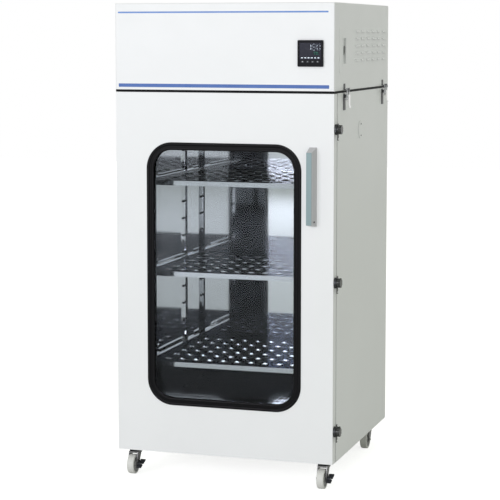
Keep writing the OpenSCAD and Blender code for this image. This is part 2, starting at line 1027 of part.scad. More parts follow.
// Plate on the head with a trough that the bail's bar drops into
module toggle_keeper() {
    bar = bail_l - bail_r - bail_d / 2 - seam;
    wall = -toggle_out;
    lip = bail_d / 2 + trough_gap;
    keeper_w = bail_y - bail_d / 2 - trough_gap;
    box([wall, -keeper_w, bar - trough_t], [wall + plate_t, keeper_w, bar + keeper_high]);
    box([wall, -keeper_w, bar - trough_t], [lip + plate_t, keeper_w, bar]);
    box([lip, -keeper_w, bar - trough_t], [lip + plate_t, keeper_w, bar + trough_lip]);
}

// Door

pivot_x = pivot_in - half_w;
pivot_y = door_t - pivot_in;
notch_h = 14;
notch_w = pivot_in + 18;
notch_y = pivot_y - 12;
block_h = 36;
edge_y = door_t / 2;
stud_y = edge_y + sqrt(latch_reach * latch_reach - stud_up * stud_up);

// Hole for the window, inset from the rubber's outer edge
module window_hole(inset) {
    w = window_w - 2 * inset;
    h = window_h - 2 * inset;
    translate([0, z_body + window_mid])
        polygon(rounded(w, h, rubber_r - inset));
}

// Clearance for the hinge brackets, at the top and bottom of the hinged edge
module hinge_notches() {
    box([-half_w - 1, notch_y, z_door - notch_h], [notch_w - half_w, door_t + 1, z_door + 1]);
    box([-half_w - 1, notch_y, z_body - 1], [notch_w - half_w, door_t + 1, z_body + notch_h]);
}

skin_inset = 14;

// Painted pan: the front face and the folded edges
module door_skin() {
    color(paint)
        difference() {
            upright(0, door_t)
                difference() {
                    translate([-half_w, z_body])
                        square([2 * half_w, z_door - z_body]);
                    window_hole(skin_inset);
                }
            upright(sheet, door_t)
                translate([sheet - half_w, z_body + sheet])
                    square([2 * in_w, z_door - z_body - 2 * sheet]);
            hinge_notches();
        }
}

tunnel_t = 2;
pane_lap = 10;
bead_t = 4;
inner_pane_y = door_t - liner_t - glass_t - clear;

// Flat ring round the window, between two insets
module window_ring(y, t, outer, inner) {
    upright(y, t)
        difference() {
            window_hole(outer);
            window_hole(inner);
        }
}

// Stainless inner pan, with the tunnel that lines the window opening and a
// bead that holds the inner pane against the pan
module door_liner() {
    tunnel = skin_inset - tunnel_t;
    color(steel)
        difference() {
            union() {
                upright(door_t - liner_t, liner_t)
                    difference() {
                        translate([sheet - half_w, z_body + sheet])
                            square([2 * in_w, z_door - z_body - 2 * sheet]);
                        window_hole(skin_inset + pane_lap);
                    }
                window_ring(sheet, door_t - liner_t - sheet, tunnel, skin_inset);
                window_ring(inner_pane_y - clear - bead_t, bead_t, tunnel, skin_inset + pane_lap);
            }
            hinge_notches();
        }
}

rubber_out = 4;

// Rubber profile: a crowned face outside the skin and a web inside its hole
module window_rubber() {
    steps = 4;
    groove = skin_inset + web_w;
    color(black) {
        for (i = [0:steps - 1]) {
            inset = rubber_out * (1 - cos(90 * i / steps));
            window_ring(-rubber_out * (i + 1) / steps, rubber_out / steps, inset, rubber_w - inset);
        }
        window_ring(0, glass_t + 2 * clear, skin_inset + clear, groove);
        window_ring(glass_t + 2 * clear, lip_t, skin_inset + clear, rubber_w - 2);
    }
}

web_w = 7;
lip_t = 3;

// Outer pane in the rubber's groove, and inner pane behind its bead
module window_glass() {
    color(glass) {
        upright(clear, glass_t)
            window_hole(skin_inset + web_w + clear);
        upright(inner_pane_y, glass_t)
            window_hole(skin_inset + clear);
    }
}

seal_in = 18;
seal_w = 16;

// Bulb seal on the back of the door, pressing on the front frame
module door_seal() {
    x = chamber_w + seal_in + seal_w;
    z0 = z_floor - seal_in - seal_w;
    z1 = z_case - header_h + seal_in + seal_w;
    color(pale)
        upright(door_t, door_gap - clear)
            difference() {
                translate([-x, z0])
                    square([2 * x, z1 - z0]);
                translate([seal_w - x, z0 + seal_w])
                    square([2 * (x - seal_w), z1 - z0 - 2 * seal_w]);
            }
}

handle_t = 3;
foot_w = 28;
grip_lean = 10;
grip_lip = 8;

// Everything above a slope that falls by drop from the door to the grip
module above_slope(drop) {
    reach = 2 * handle_out;
    translate([half_w - handle_in - reach, 0, 0])
        rotate([atan(drop / handle_out), 0, 0])
            box([0, -reach, 0], [2 * reach, handle_out / 4, handle_l + reach]);
}

// Everything below the same slope
module below_slope(drop) {
    reach = 2 * handle_out;
    translate([half_w - handle_in - reach, 0, 0])
        rotate([atan(drop / handle_out), 0, 0])
            box([0, -handle_l - reach, -handle_l - reach], [2 * reach, handle_out, 0]);
}

// The top end is at z, and the bottom one is the same turned over
module handle_bar(z, drop, outline) {
    difference() {
        linear_extrude(z)
            polygon(outline);
        translate([0, 0, z])
            above_slope(drop);
    }
}

// Cap that closes one end, as thick as the strip
module handle_cap(z, drop, outline) {
    difference() {
        handle_bar(z, drop, outline);
        translate([0, 0, z - handle_t])
            below_slope(drop);
    }
}

// Bent strip with capped ends: a foot on the door, a leaning web and a grip
module door_handle() {
    t = handle_t;
    foot = half_w - handle_in;
    web = foot - grip_lean;
    grip = web - grip_w;
    strip = [
        [foot, 0], [foot - foot_w, 0], [foot - foot_w, -t], [foot - t - 1, -t],
        [web - t, t - handle_out], [grip + t, t - handle_out], [grip + t, grip_lip - handle_out],
        [grip, grip_lip - handle_out], [grip, -handle_out], [web, -handle_out]
    ];
    closed = [[foot, 0], [foot - foot_w, 0], [grip, -handle_out], [web, -handle_out]];
    color(alloy)
        translate([0, 0, z_body + handle_mid]) {
            handle_bar(handle_l / 2, handle_slant, strip);
            handle_cap(handle_l / 2, handle_slant, closed);
            mirror([0, 0, 1]) {
                handle_bar(handle_l / 2, foot_slant, strip);
                handle_cap(handle_l / 2, foot_slant, closed);
            }
        }
}

hub_out = 8;
hub_rim = 1;
axle_d = 8;
knob_t = 13;
knob_floor = 2;
arm_t = 3;
arm_w = 12;
arm_end = 6;
slot_clear = 0.4;
flutes = 8;
flute_d = 7;

// Latch bases with their axles, and the pivot blocks in the door's corners
module door_hardware() {
    color(dark_steel) {
        for (z = latch_z)
            translate([half_w, edge_y, z_body + z]) {
                bar_x(0, hub_out, door_t - 2 * hub_rim);
                bar_x(0, hub_out + arm_t + knob_t - knob_floor, axle_d);
            }
        pivot_block(z_body + notch_h);
        pivot_block(z_door - notch_h - block_h);
    }
}

module pivot_block(z) {
    translate([0, 0, z])
        difference() {
            box([sheet - half_w, pivot_y - 10, 0], [notch_w - 4 - half_w, door_t - liner_t, block_h]);
            translate([pivot_x, pivot_y, -1])
                cylinder(d = pivot_d + 2 * run, h = block_h + 2);
        }
}

// Knob with a hook plate that hangs down when the latch is free
module latch_knob(i) {
    slot = stud_d / 2 + slot_clear;
    tip = latch_reach + arm_end;
    color(steel)
        translate([half_w + hub_out + clear, edge_y, z_body + latch_z[i - 1]])
            difference() {
                union() {
                    sideways(0, arm_t)
                        difference() {
                            translate([-arm_w / 2, -tip])
                                square([arm_w, tip]);
                            polygon(concat(
                                arc([0, -latch_reach], slot, 90, 270, 8),
                                [[arm_w, -latch_reach - slot], [arm_w, slot - latch_reach]]
                            ));
                        }
                    bar_x(0, arm_t + knob_t, knob_d);
                }
                bar_x(-1, arm_t + knob_t - knob_floor, axle_d + 2 * run);
                for (a = [0:360 / flutes:359])
                    rotate([a, 0, 0])
                        translate([0, 0, (knob_d + flute_d) / 2 - knob_floor])
                            bar_x(arm_t + 1, arm_t + knob_t + 1, flute_d);
            }
}

stud_d = 6;
stud_head = 9;
stud_head_t = 2.5;
stud_spare = 1.5;
keeper_half = 10;
keeper_end = 9;

// Studs for the door latches and hooked keepers for the toggle latches
module latch_keepers() {
    plate = [frame_y + 1, stud_y + keeper_end];
    head_x = hub_out + arm_t + stud_spare;
    color(steel) {
        for (z = latch_z)
            translate([half_w, 0, z_body + z + stud_up]) {
                box([0, plate[0], -keeper_half], [plate_t, plate[1], keeper_half]);
                translate([0, stud_y, 0]) {
                    bar_x(0, head_x + 1, stud_d);
                    bar_x(head_x, head_x + stud_head_t, stud_head);
                }
            }
        for (k = [1:4])
            at_toggle(k)
                toggle_keeper();
    }
}

bracket_t = 6;
bracket_half = 6;
pin_l = 34;

// Plate from the front frame into the door's notch, with its pivot pin
module hinge_bracket() {
    back = frame_y - pivot_y;
    translate([pivot_x, pivot_y, 0]) {
        linear_extrude(bracket_t)
            polygon(concat(
                arc([0, 0], bracket_half, 180, 360, 12), [[bracket_half, back], [-bracket_half, back]]
            ));
        cylinder(d = pivot_d, h = pin_l);
    }
}

module hinge_brackets() {
    gap = (notch_h - bracket_t) / 2;
    color(dark_steel) {
        translate([0, 0, z_body + notch_h - gap - bracket_t])
            hinge_bracket();
        translate([0, 0, z_door - notch_h + gap + bracket_t])
            mirror([0, 0, 1])
                hinge_bracket();
    }
}

// Casters: 1 front left, 2 front right, 3 rear left, 4 rear right

caster_top_t = 4;
race_d = 48;
race_h = 8;
crown_t = 6;
cheek_gap = 2;
fork_t = 3;
fork_front = 12;
cheek_foot = 9;
axle_bolt = 8;
bolt_out = 4;
kingpin = 12;
pin_head = 3;

function caster_at(k) = [
    (k % 2 == 1 ? -1 : 1) * (half_w - caster_in), k < 3 ? caster_front : caster_rear, 0
];

module caster_plates() {
    z0 = z_body - strip_t - caster_top_t;
    color(steel)
        for (k = [1:4])
            translate(caster_at(k)) {
                translate([0, 0, z0])
                    linear_extrude(caster_top_t)
                        polygon(rounded(62, 62, 6));
                translate([0, 0, z0 - race_h])
                    cylinder(d = race_d, h = race_h);
                translate([0, 0, z0 - race_h - crown_t - pin_head - 1])
                    cylinder(d = kingpin, h = race_h + crown_t + pin_head + 1);
                translate([0, 0, z0 - race_h - crown_t - pin_head - 1])
                    cylinder(d = 1.5 * kingpin, h = pin_head);
            }
}

// Pressed fork: a crown on the kingpin and two cheeks down to the axle
module caster_fork(k) {
    z1 = z_body - strip_t - caster_top_t - race_h - clear;
    half = wheel_w / 2 + cheek_gap;
    r = wheel_d / 2;
    pedal_room = k < 3 ? pedal_w : 0;
    side = [
        [fork_front, z1 - crown_t], [fork_front, z1], [-caster_trail, z1],
        [-caster_trail - cheek_foot, r + cheek_foot], [-caster_trail - cheek_foot, r - cheek_foot],
        [cheek_foot - caster_trail, r - cheek_foot]
    ];
    color(dark_steel)
        translate(caster_at(k)) {
            difference() {
                union() {
                    translate([0, 0, z1 - crown_t])
                        cylinder(d = race_d, h = crown_t);
                    box([-half, -caster_trail, z1 - crown_t], [half, fork_front, z1]);
                }
                translate([0, 0, z1 - crown_t - 1])
                    cylinder(d = kingpin + 2 * run, h = crown_t + 2);
            }
            for (s = [-half - fork_t, half])
                sideways(s, fork_t)
                    polygon(side);
            translate([0, -caster_trail, r])
                bar_x(-half - fork_t - bolt_out, half + fork_t + bolt_out + pedal_room, axle_bolt);
        }
}

tread_t = 8;
web_in = 4;
boss_r = 13;

// Wheel: a hub, a web and a tread, turning on the axle
module caster_wheel(k) {
    r = wheel_d / 2;
    rim = r - tread_t;
    half = wheel_w / 2;
    web = half - web_in;
    bore = axle_bolt / 2 + run;
    color(pale)
        translate(caster_at(k) + [0, -caster_trail, r])
            rotate([0, 90, 0])
                rotate_extrude()
                    polygon([
                        [bore, -half], [boss_r, -half], [boss_r + 2, -web], [rim - 3, -web],
                        [rim, -half], [r - 2, -half], [r, 3 - half], [r, half - 3],
                        [r - 2, half], [rim, half], [rim - 3, web], [boss_r + 2, web],
                        [boss_r, half], [bore, half]
                    ]);
}

pedal_w = 12;
pedal_hub = 17;
pedal_front = 24;
pedal_rear = 32;
pedal_tilt = 20;
wing_t = 5;
wing_in = 0.5;
wing_out = 20;

// Rocker on the end of a front caster's axle: a low front wing and a long rear
// wing that a foot presses down
module brake_pedal(k) {
    start = wheel_w / 2 + cheek_gap + fork_t + clear;
    bore = axle_bolt + 2 * run;
    color(black)
        translate(caster_at(k) + [0, -caster_trail, wheel_d / 2])
            difference() {
                union() {
                    bar_x(start, start + pedal_w, pedal_hub);
                    rotate([pedal_tilt, 0, 0]) {
                        box([start + wing_in, bore / 2 + 1, -wing_t / 2],
                            [start + wing_out, pedal_rear, wing_t / 2]);
                        box([start + wing_in, -pedal_front, -wing_t / 2],
                            [start + wing_out, -bore / 2 - 1, wing_t / 2]);
                    }
                }
                bar_x(start - 1, start + pedal_w + 1, bore);
            }
}

placed() case_panels();
placed() base_pan();
placed() insulation();
placed() inner_chamber();
placed() front_frame();
placed() shelf_supports();
placed() shelf_bottom();
placed() shelf_middle();
placed() shelf_top();
placed() head_gasket();
placed() head_floor();
placed() head_front();
placed() head_panels();
placed() access_panel();
placed() recess_pan();
placed() pull_ring();
placed() hepa_filter();
placed() plenum_box();
placed() blower_motor();
placed() blower_impeller();
placed() air_heater();
placed() controller_case();
placed() controller_key(0);  // controller_key_1
placed() controller_key(1);  // controller_key_2
placed() controller_key(2);  // controller_key_3
placed() controller_key(3);  // controller_key_4
placed() port_cover();
placed() cable_gland();
placed() toggle_bases();
placed() latch_keepers();
placed() toggle_lever(1);  // toggle_lever_1
placed() toggle_lever(2);  // toggle_lever_2
placed() toggle_lever(3);  // toggle_lever_3
placed() toggle_lever(4);  // toggle_lever_4
placed() toggle_bail(1);  // toggle_bail_1
placed() toggle_bail(2);  // toggle_bail_2
placed() toggle_bail(3);  // toggle_bail_3
placed() toggle_bail(4);  // toggle_bail_4
placed() hinge_brackets();
placed() door_skin();
placed() door_liner();
placed() window_rubber();
placed() window_glass();
placed() door_seal();
placed() door_handle();
placed() door_hardware();
placed() latch_knob(1);  // latch_knob_1
placed() latch_knob(2);  // latch_knob_2
placed() latch_knob(3);  // latch_knob_3
placed() caster_plates();
placed() caster_fork(1);  // caster_fork_1
placed() caster_fork(2);  // caster_fork_2
placed() caster_fork(3);  // caster_fork_3
placed() caster_fork(4);  // caster_fork_4
placed() caster_wheel(1);  // caster_wheel_1
placed() caster_wheel(2);  // caster_wheel_2
placed() caster_wheel(3);  // caster_wheel_3
placed() caster_wheel(4);  // caster_wheel_4
placed() brake_pedal(1);  // brake_pedal_1
placed() brake_pedal(2);  // brake_pedal_2
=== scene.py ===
# %% [markdown]
# # A dry heat sterilizer, from frame to finish
# The cabinet arrives as a frame of plain parts, already the right size and already jointed.
# This lesson gives it its looks. It adds the pieces that a plain solid can't show, and it
# gives every surface a finish built from nodes, without one picture file.

import json
import math

import bmesh
import bpy
from mathutils import Matrix, Vector


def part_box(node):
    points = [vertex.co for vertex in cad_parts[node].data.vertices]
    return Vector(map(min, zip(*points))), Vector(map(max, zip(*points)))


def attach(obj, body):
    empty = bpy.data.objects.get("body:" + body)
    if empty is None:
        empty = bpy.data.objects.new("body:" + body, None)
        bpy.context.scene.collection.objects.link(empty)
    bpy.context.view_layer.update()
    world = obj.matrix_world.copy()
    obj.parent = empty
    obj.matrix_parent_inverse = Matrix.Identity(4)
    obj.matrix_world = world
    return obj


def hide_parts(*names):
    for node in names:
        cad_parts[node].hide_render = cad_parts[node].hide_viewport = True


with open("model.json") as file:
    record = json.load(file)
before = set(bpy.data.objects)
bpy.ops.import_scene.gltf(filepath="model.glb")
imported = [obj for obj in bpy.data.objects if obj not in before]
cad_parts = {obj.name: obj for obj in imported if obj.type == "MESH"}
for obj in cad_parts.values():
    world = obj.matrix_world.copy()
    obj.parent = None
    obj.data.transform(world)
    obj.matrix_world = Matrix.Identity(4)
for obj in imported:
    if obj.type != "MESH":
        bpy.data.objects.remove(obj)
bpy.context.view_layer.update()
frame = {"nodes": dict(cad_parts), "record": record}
parts = frame["nodes"]

# %% [markdown]
# ## Camera
# A product photographer stands well back with a long lens, so that a tall cabinet keeps its
# upright edges parallel. The lens here is 124 mm on a 36 mm sensor. The camera stands to the
# right of the door at about eye height, turned a little left and tipped a little down. A small
# upward shift frames the cabinet without tipping the camera any further.

# %% Place the camera
SENSOR_MM, LENS_MM = 36, 124.4
CAMERA_PLACE = (2.0313, -6.4781, 1.6812)
TIP_DOWN, TURN_LEFT = 5.773, 17.635
lens_data = bpy.data.cameras.new("studio_camera")
lens_data.sensor_width = SENSOR_MM
lens_data.lens = LENS_MM
lens_data.shift_y = -0.08
camera = bpy.data.objects.new("studio_camera", lens_data)
bpy.context.scene.collection.objects.link(camera)
camera.location = CAMERA_PLACE
camera.rotation_euler = (math.radians(90 - TIP_DOWN), 0, math.radians(TURN_LEFT))
bpy.context.scene.camera = camera
print("camera at", tuple(camera.location))

# %% [markdown]
# ## Studio light
# The paint is nearly white, so the light has to stay plain or the front would burn out. A big
# soft lamp hangs in front and to the left, which leaves the right side in half shade. The world
# gives the rest. Rays that go straight to the camera, or by way of metal and glass, see it white,
# a little less so by way of metal.

# %% Light the studio
world = bpy.data.worlds.new("studio_world")
bpy.context.scene.world = world
world.use_nodes = True
sky = world.node_tree
sky.nodes.clear()
ambient = sky.nodes.new("ShaderNodeBackground")
ambient.inputs["Color"].default_value = (0.965, 1.0, 0.915, 1)
ambient.inputs["Strength"].default_value = 0.56
backdrop_white = sky.nodes.new("ShaderNodeBackground")
backdrop_white.inputs["Color"].default_value = (1, 1, 1, 1)
ray = sky.nodes.new("ShaderNodeLightPath")


def dim_mirrored(tree, ray, straight, mirrored):
    """A strength that drops once a ray has met metal on its way."""
    dim = tree.nodes.new("ShaderNodeMapRange")
    dim.inputs["To Min"].default_value = straight
    dim.inputs["To Max"].default_value = mirrored
    tree.links.new(ray.outputs["Glossy Depth"], dim.inputs["Value"])
    return dim.outputs["Result"]


def seen_rays(tree, ray):
    """A mask of the rays that reach the camera straight or by way of metal or glass."""
    total = ray.outputs["Is Camera Ray"]
    for kind in ("Is Glossy Ray", "Is Transmission Ray"):
        both = tree.nodes.new("ShaderNodeMath")
        both.operation = "ADD"
        both.use_clamp = True
        tree.links.new(total, both.inputs[0])
        tree.links.new(ray.outputs[kind], both.inputs[1])
        total = both.outputs[0]
    return total


sky.links.new(dim_mirrored(sky, ray, 1.0, 0.9), backdrop_white.inputs["Strength"])
pick = sky.nodes.new("ShaderNodeMixShader")
sky_out = sky.nodes.new("ShaderNodeOutputWorld")
sky.links.new(seen_rays(sky, ray), pick.inputs["Fac"])
sky.links.new(ambient.outputs[0], pick.inputs[1])
sky.links.new(backdrop_white.outputs[0], pick.inputs[2])
sky.links.new(pick.outputs[0], sky_out.inputs["Surface"])


def soft_lamp(name, place, target, size, power, colour):
    """An area lamp, of a width and a height, that faces its target."""
    data = bpy.data.lights.new(name, "AREA")
    data.shape = "RECTANGLE"
    data.size, data.size_y = size
    data.energy = power
    data.color = colour
    lamp = bpy.data.objects.new(name, data)
    bpy.context.scene.collection.objects.link(lamp)
    lamp.location = place
    aim = Vector(target) - Vector(place)
    lamp.rotation_euler = aim.to_track_quat("-Z", "Y").to_euler()
    return lamp


LAMP_PLACE, LAMP_TARGET, LAMP_SIZE = (-2.3, -9.9, 3.0), (0, 0, 0.3), (8.0, 3.2)
LAMP_WATTS, LAMP_COLOUR = 478, (0.91, 0.9, 0.99)
soft_lamp("key_lamp", LAMP_PLACE, LAMP_TARGET, LAMP_SIZE, LAMP_WATTS, LAMP_COLOUR)

# %% [markdown]
# ## Floor
# The floor is a pale sheet that runs out past the picture. It is lit like anything else, so it
# keeps the cabinet's shadow, and a little of its own white is added for the rays that the camera
# sees, so that it meets the backdrop without a line. The floor is not a lamp, so the renderer is
# told not to aim at it.

# %% Lay the floor
FLOOR_HALF = 15
bm = bmesh.new()
bmesh.ops.create_grid(bm, x_segments=1, y_segments=1, size=FLOOR_HALF)
floor_mesh = bpy.data.meshes.new("studio_floor")
bm.to_mesh(floor_mesh)
bm.free()
floor = bpy.data.objects.new("studio_floor", floor_mesh)
bpy.context.scene.collection.objects.link(floor)

floor_finish = bpy.data.materials.new("studio_floor")
floor_finish.use_nodes = True
tree = floor_finish.node_tree
tree.nodes.clear()
lit = tree.nodes.new("ShaderNodeBsdfDiffuse")
lit.inputs["Color"].default_value = (0.74, 0.74, 0.725, 1)
glow = tree.nodes.new("ShaderNodeEmission")
glow.inputs["Color"].default_value = (1, 1, 1, 1)
ray = tree.nodes.new("ShaderNodeLightPath")
strength = tree.nodes.new("ShaderNodeMath")
strength.operation = "MULTIPLY"
both = tree.nodes.new("ShaderNodeAddShader")
out = tree.nodes.new("ShaderNodeOutputMaterial")
tree.links.new(seen_rays(tree, ray), strength.inputs[0])
tree.links.new(dim_mirrored(tree, ray, 0.74, 0.2), strength.inputs[1])
tree.links.new(strength.outputs[0], glow.inputs["Strength"])
tree.links.new(lit.outputs[0], both.inputs[0])
tree.links.new(glow.outputs[0], both.inputs[1])
tree.links.new(both.outputs[0], out.inputs["Surface"])
floor_finish.cycles.emission_sampling = "NONE"
floor_mesh.materials.append(floor_finish)
print("floor size:", tuple(floor.dimensions))

# %% [markdown]
# ## Finishes: the shared patterns
# Sheet metal, plastic and rubber all have a fine unevenness that breaks up their highlights.
# One node group makes it, and each finish sets its own size. A second group draws a pattern
# out into streaks, for brushed and rolled steel. Both read a place that the finish hands in.

# %% Build the shared patterns


def new_group(name, inputs, outputs):
    """An empty shader node group with float and vector sockets."""
    group = bpy.data.node_groups.new(name, "ShaderNodeTree")
    for label, kind, value in inputs:
        socket = group.interface.new_socket(name=label, in_out="INPUT", socket_type=kind)
        if value is not None:
            socket.default_value = value
    for label, kind in outputs:
        group.interface.new_socket(name=label, in_out="OUTPUT", socket_type=kind)
    start = group.nodes.new("NodeGroupInput")
    end = group.nodes.new("NodeGroupOutput")
    return group, start, end


def spread_out(group, noise, start, end):
    """Takes the middle of a noise to a group's own Low and High."""
    spread = group.nodes.new("ShaderNodeMapRange")
    spread.inputs["From Min"].default_value = 0.3
    spread.inputs["From Max"].default_value = 0.7
    group.links.new(noise.outputs["Fac"], spread.inputs["Value"])
    group.links.new(start.outputs["Low"], spread.inputs["To Min"])
    group.links.new(start.outputs["High"], spread.inputs["To Max"])
    group.links.new(spread.outputs["Result"], end.inputs["Value"])


uneven, start, end = new_group(
    "surface_unevenness",
    [("Place", "NodeSocketVector", None), ("Density", "NodeSocketFloat", 400.0),
     ("Low", "NodeSocketFloat", 0.0), ("High", "NodeSocketFloat", 1.0)],
    [("Value", "NodeSocketFloat")],
)
noise = uneven.nodes.new("ShaderNodeTexNoise")
noise.inputs["Detail"].default_value = 3.0
uneven.links.new(start.outputs["Place"], noise.inputs["Vector"])
uneven.links.new(start.outputs["Density"], noise.inputs["Scale"])
spread_out(uneven, noise, start, end)

streaks, start, end = new_group(
    "rolled_streaks",
    [("Place", "NodeSocketVector", None), ("Stretch", "NodeSocketVector", (1.0, 1.0, 1.0)),
     ("Low", "NodeSocketFloat", 0.0), ("High", "NodeSocketFloat", 1.0)],
    [("Value", "NodeSocketFloat")],
)
pull = streaks.nodes.new("ShaderNodeVectorMath")
pull.operation = "MULTIPLY"
noise = streaks.nodes.new("ShaderNodeTexNoise")
noise.inputs["Scale"].default_value = 1.0
noise.inputs["Detail"].default_value = 4.0
streaks.links.new(start.outputs["Place"], pull.inputs[0])
streaks.links.new(start.outputs["Stretch"], pull.inputs[1])
streaks.links.new(pull.outputs[0], noise.inputs["Vector"])
spread_out(streaks, noise, start, end)
print("shared patterns:", [g.name for g in bpy.data.node_groups])

# %% Finish helpers
finishes = {}


def start_finish(name, color, metallic, roughness):
    """A new material, its Principled shader, and a place to read patterns from."""
    finish = bpy.data.materials.new(name)
    finishes[name] = finish
    finish.use_nodes = True
    tree = finish.node_tree
    tree.nodes.clear()
    shader = tree.nodes.new("ShaderNodeBsdfPrincipled")
    shader.inputs["Base Color"].default_value = (*color, 1)
    shader.inputs["Metallic"].default_value = metallic
    shader.inputs["Roughness"].default_value = roughness
    end = tree.nodes.new("ShaderNodeOutputMaterial")
    tree.links.new(shader.outputs[0], end.inputs["Surface"])
    place = tree.nodes.new("ShaderNodeTexCoord")
    print("finish:", name)
    return tree, shader, place.outputs["Object"]


def use_group(tree, group, place, setting, value, low, high):
    """One use of a pattern group, with its own size and its own low and high value."""
    node = tree.nodes.new("ShaderNodeGroup")
    node.node_tree = group
    tree.links.new(place, node.inputs["Place"])
    node.inputs[setting].default_value = value
    node.inputs["Low"].default_value = low
    node.inputs["High"].default_value = high
    return node.outputs["Value"]


def vary_roughness(tree, place, shader, density, low, high):
    """Lets the roughness wander between two values."""
    pattern = use_group(tree, uneven, place, "Density", density, low, high)
    tree.links.new(pattern, shader.inputs["Roughness"])


def streak_roughness(tree, place, shader, stretch, low, high):
    """Lets the roughness change in streaks between two values."""
    pattern = use_group(tree, streaks, place, "Stretch", stretch, low, high)
    tree.links.new(pattern, shader.inputs["Roughness"])


def add_grain(tree, place, shader, density, strength, distance):
    """A fine bump."""
    node = tree.nodes.new("ShaderNodeBump")
    node.inputs["Strength"].default_value = strength
    node.inputs["Distance"].default_value = distance
    height = use_group(tree, uneven, place, "Density", density, 0.0, 1.0)
    tree.links.new(height, node.inputs["Height"])
    tree.links.new(node.outputs["Normal"], shader.inputs["Normal"])


def blend_colour(tree, mask, shader, low, high):
    """Goes from one base colour to another by a mask."""
    node = tree.nodes.new("ShaderNodeMix")
    node.data_type = "RGBA"
    node.inputs["A"].default_value = (*low, 1)
    node.inputs["B"].default_value = (*high, 1)
    tree.links.new(mask, node.inputs["Factor"])
    tree.links.new(node.outputs["Result"], shader.inputs["Base Color"])


def mottle(tree, place, shader, density, low, high):
    """Lets the base colour wander between two close ones."""
    pattern = use_group(tree, uneven, place, "Density", density, 0.0, 1.0)
    blend_colour(tree, pattern, shader, low, high)


# %% [markdown]
# ## Painted sheet
# The case is steel sheet under baked paint. Paint like this dries with a faint orange peel that
# only shows where it catches a highlight, so it is a fine bump and a small change of roughness.
# Its white drifts by a hundredth, which is less than the eye can see as a pattern.

# %% White paint
tree, shader, place = start_finish("paint_white", (0.87, 0.88, 0.885), 0.0, 0.38)
add_grain(tree, place, shader, 520.0, 0.06, 0.0004)
vary_roughness(tree, place, shader, 9.0, 0.34, 0.42)
mottle(tree, place, shader, 2.2, (0.86, 0.87, 0.875), (0.88, 0.89, 0.895))

# %% [markdown]
# ## Polished stainless steel
# The chamber's walls are bright rolled sheet that mirrors the room. Its floor mirrors a dark part
# of it, and a mask by height paints that dark reflection into the floor's colour. The trays are
# darker too, as a painted dark reflection, with a painted highlight along their lips, and the
# frame round the opening is brushed in upright streaks and darkened as painted shade.

# %% Stainless sheet
def add_level(tree, place, axis, edge, width):
    """A mask that goes from 0 to 1 where the place passes an edge along one axis."""
    split = tree.nodes.new("ShaderNodeSeparateXYZ")
    step = tree.nodes.new("ShaderNodeMapRange")
    step.inputs["From Min"].default_value = edge - width / 2
    step.inputs["From Max"].default_value = edge + width / 2
    tree.links.new(place, split.inputs[0])
    tree.links.new(split.outputs[axis], step.inputs["Value"])
    return step.outputs["Result"]


tree, shader, place = start_finish("stainless_mirror", (0.745, 0.75, 0.765), 1.0, 0.06)
vary_roughness(tree, place, shader, 4.0, 0.03, 0.07)
chamber_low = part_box("inner_chamber")[0][2]
# The chamber floor's base colour is painted near black, a painted dark reflection under the bright
# walls.
above_floor = add_level(tree, place, "Z", chamber_low + 0.003, 0.001)
blend_colour(tree, above_floor, shader, (0.10, 0.105, 0.115), (0.745, 0.75, 0.765))

# The trays' steel is painted darker than the walls as a dark reflection, and the Specular Tint
# dims its sheen at a slant as well; a strip along the front edge is painted lighter, a painted
# highlight on the lip.
tree, shader, place = start_finish("tray_steel_painted_reflection", (0.30, 0.31, 0.33), 1.0, 0.12)
shader.inputs["Specular Tint"].default_value = (0.105, 0.107, 0.114, 1)
lip = add_level(tree, place, "Y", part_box("shelf_top")[0][1] + 0.0025, 0.001)
blend_colour(tree, lip, shader, (0.56, 0.57, 0.59), (0.28, 0.285, 0.295))

# Steel for the frame round the opening and the door's lining: its dark base colour is painted
# shade, for the little light that reaches them.
tree, shader, place = start_finish("brushed_steel_painted_shade", (0.20, 0.204, 0.215), 1.0, 0.08)
streak_roughness(tree, place, shader, (240.0, 240.0, 8.0), 0.06, 0.09)

# %% Plated and dark steel
tree, shader, place = start_finish("steel_plated", (0.40, 0.41, 0.42), 1.0, 0.18)
vary_roughness(tree, place, shader, 240.0, 0.14, 0.28)

tree, shader, place = start_finish("steel_zinc", (0.36, 0.37, 0.37), 1.0, 0.4)
vary_roughness(tree, place, shader, 160.0, 0.34, 0.5)
mottle(tree, place, shader, 90.0, (0.30, 0.31, 0.31), (0.40, 0.41, 0.40))

tree, shader, place = start_finish("steel_dark", (0.05, 0.052, 0.055), 0.7, 0.36)
vary_roughness(tree, place, shader, 300.0, 0.32, 0.5)
add_grain(tree, place, shader, 900.0, 0.1, 0.0002)

tree, shader, place = start_finish("latch_grey", (0.045, 0.046, 0.045), 0.8, 0.26)
vary_roughness(tree, place, shader, 400.0, 0.2, 0.36)
mottle(tree, place, shader, 260.0, (0.035, 0.037, 0.035), (0.06, 0.062, 0.06))

tree, shader, place = start_finish("toggle_chrome", (0.82, 0.82, 0.81), 1.0, 0.14)
vary_roughness(tree, place, shader, 220.0, 0.1, 0.2)

tree, shader, place = start_finish("fork_grey", (0.21, 0.21, 0.21), 0.8, 0.4)
vary_roughness(tree, place, shader, 160.0, 0.34, 0.5)
mottle(tree, place, shader, 90.0, (0.18, 0.18, 0.18), (0.24, 0.24, 0.235))

# %% Rubber and silicone
tree, shader, place = start_finish("rubber_black", (0.004, 0.004, 0.005), 0.0, 0.36)
vary_roughness(tree, place, shader, 60.0, 0.3, 0.46)
add_grain(tree, place, shader, 1400.0, 0.12, 0.0002)
shader.inputs["Specular IOR Level"].default_value = 0.12

tree, shader, place = start_finish("seal_silicone", (0.72, 0.71, 0.68), 0.0, 0.55)
add_grain(tree, place, shader, 800.0, 0.15, 0.0002)

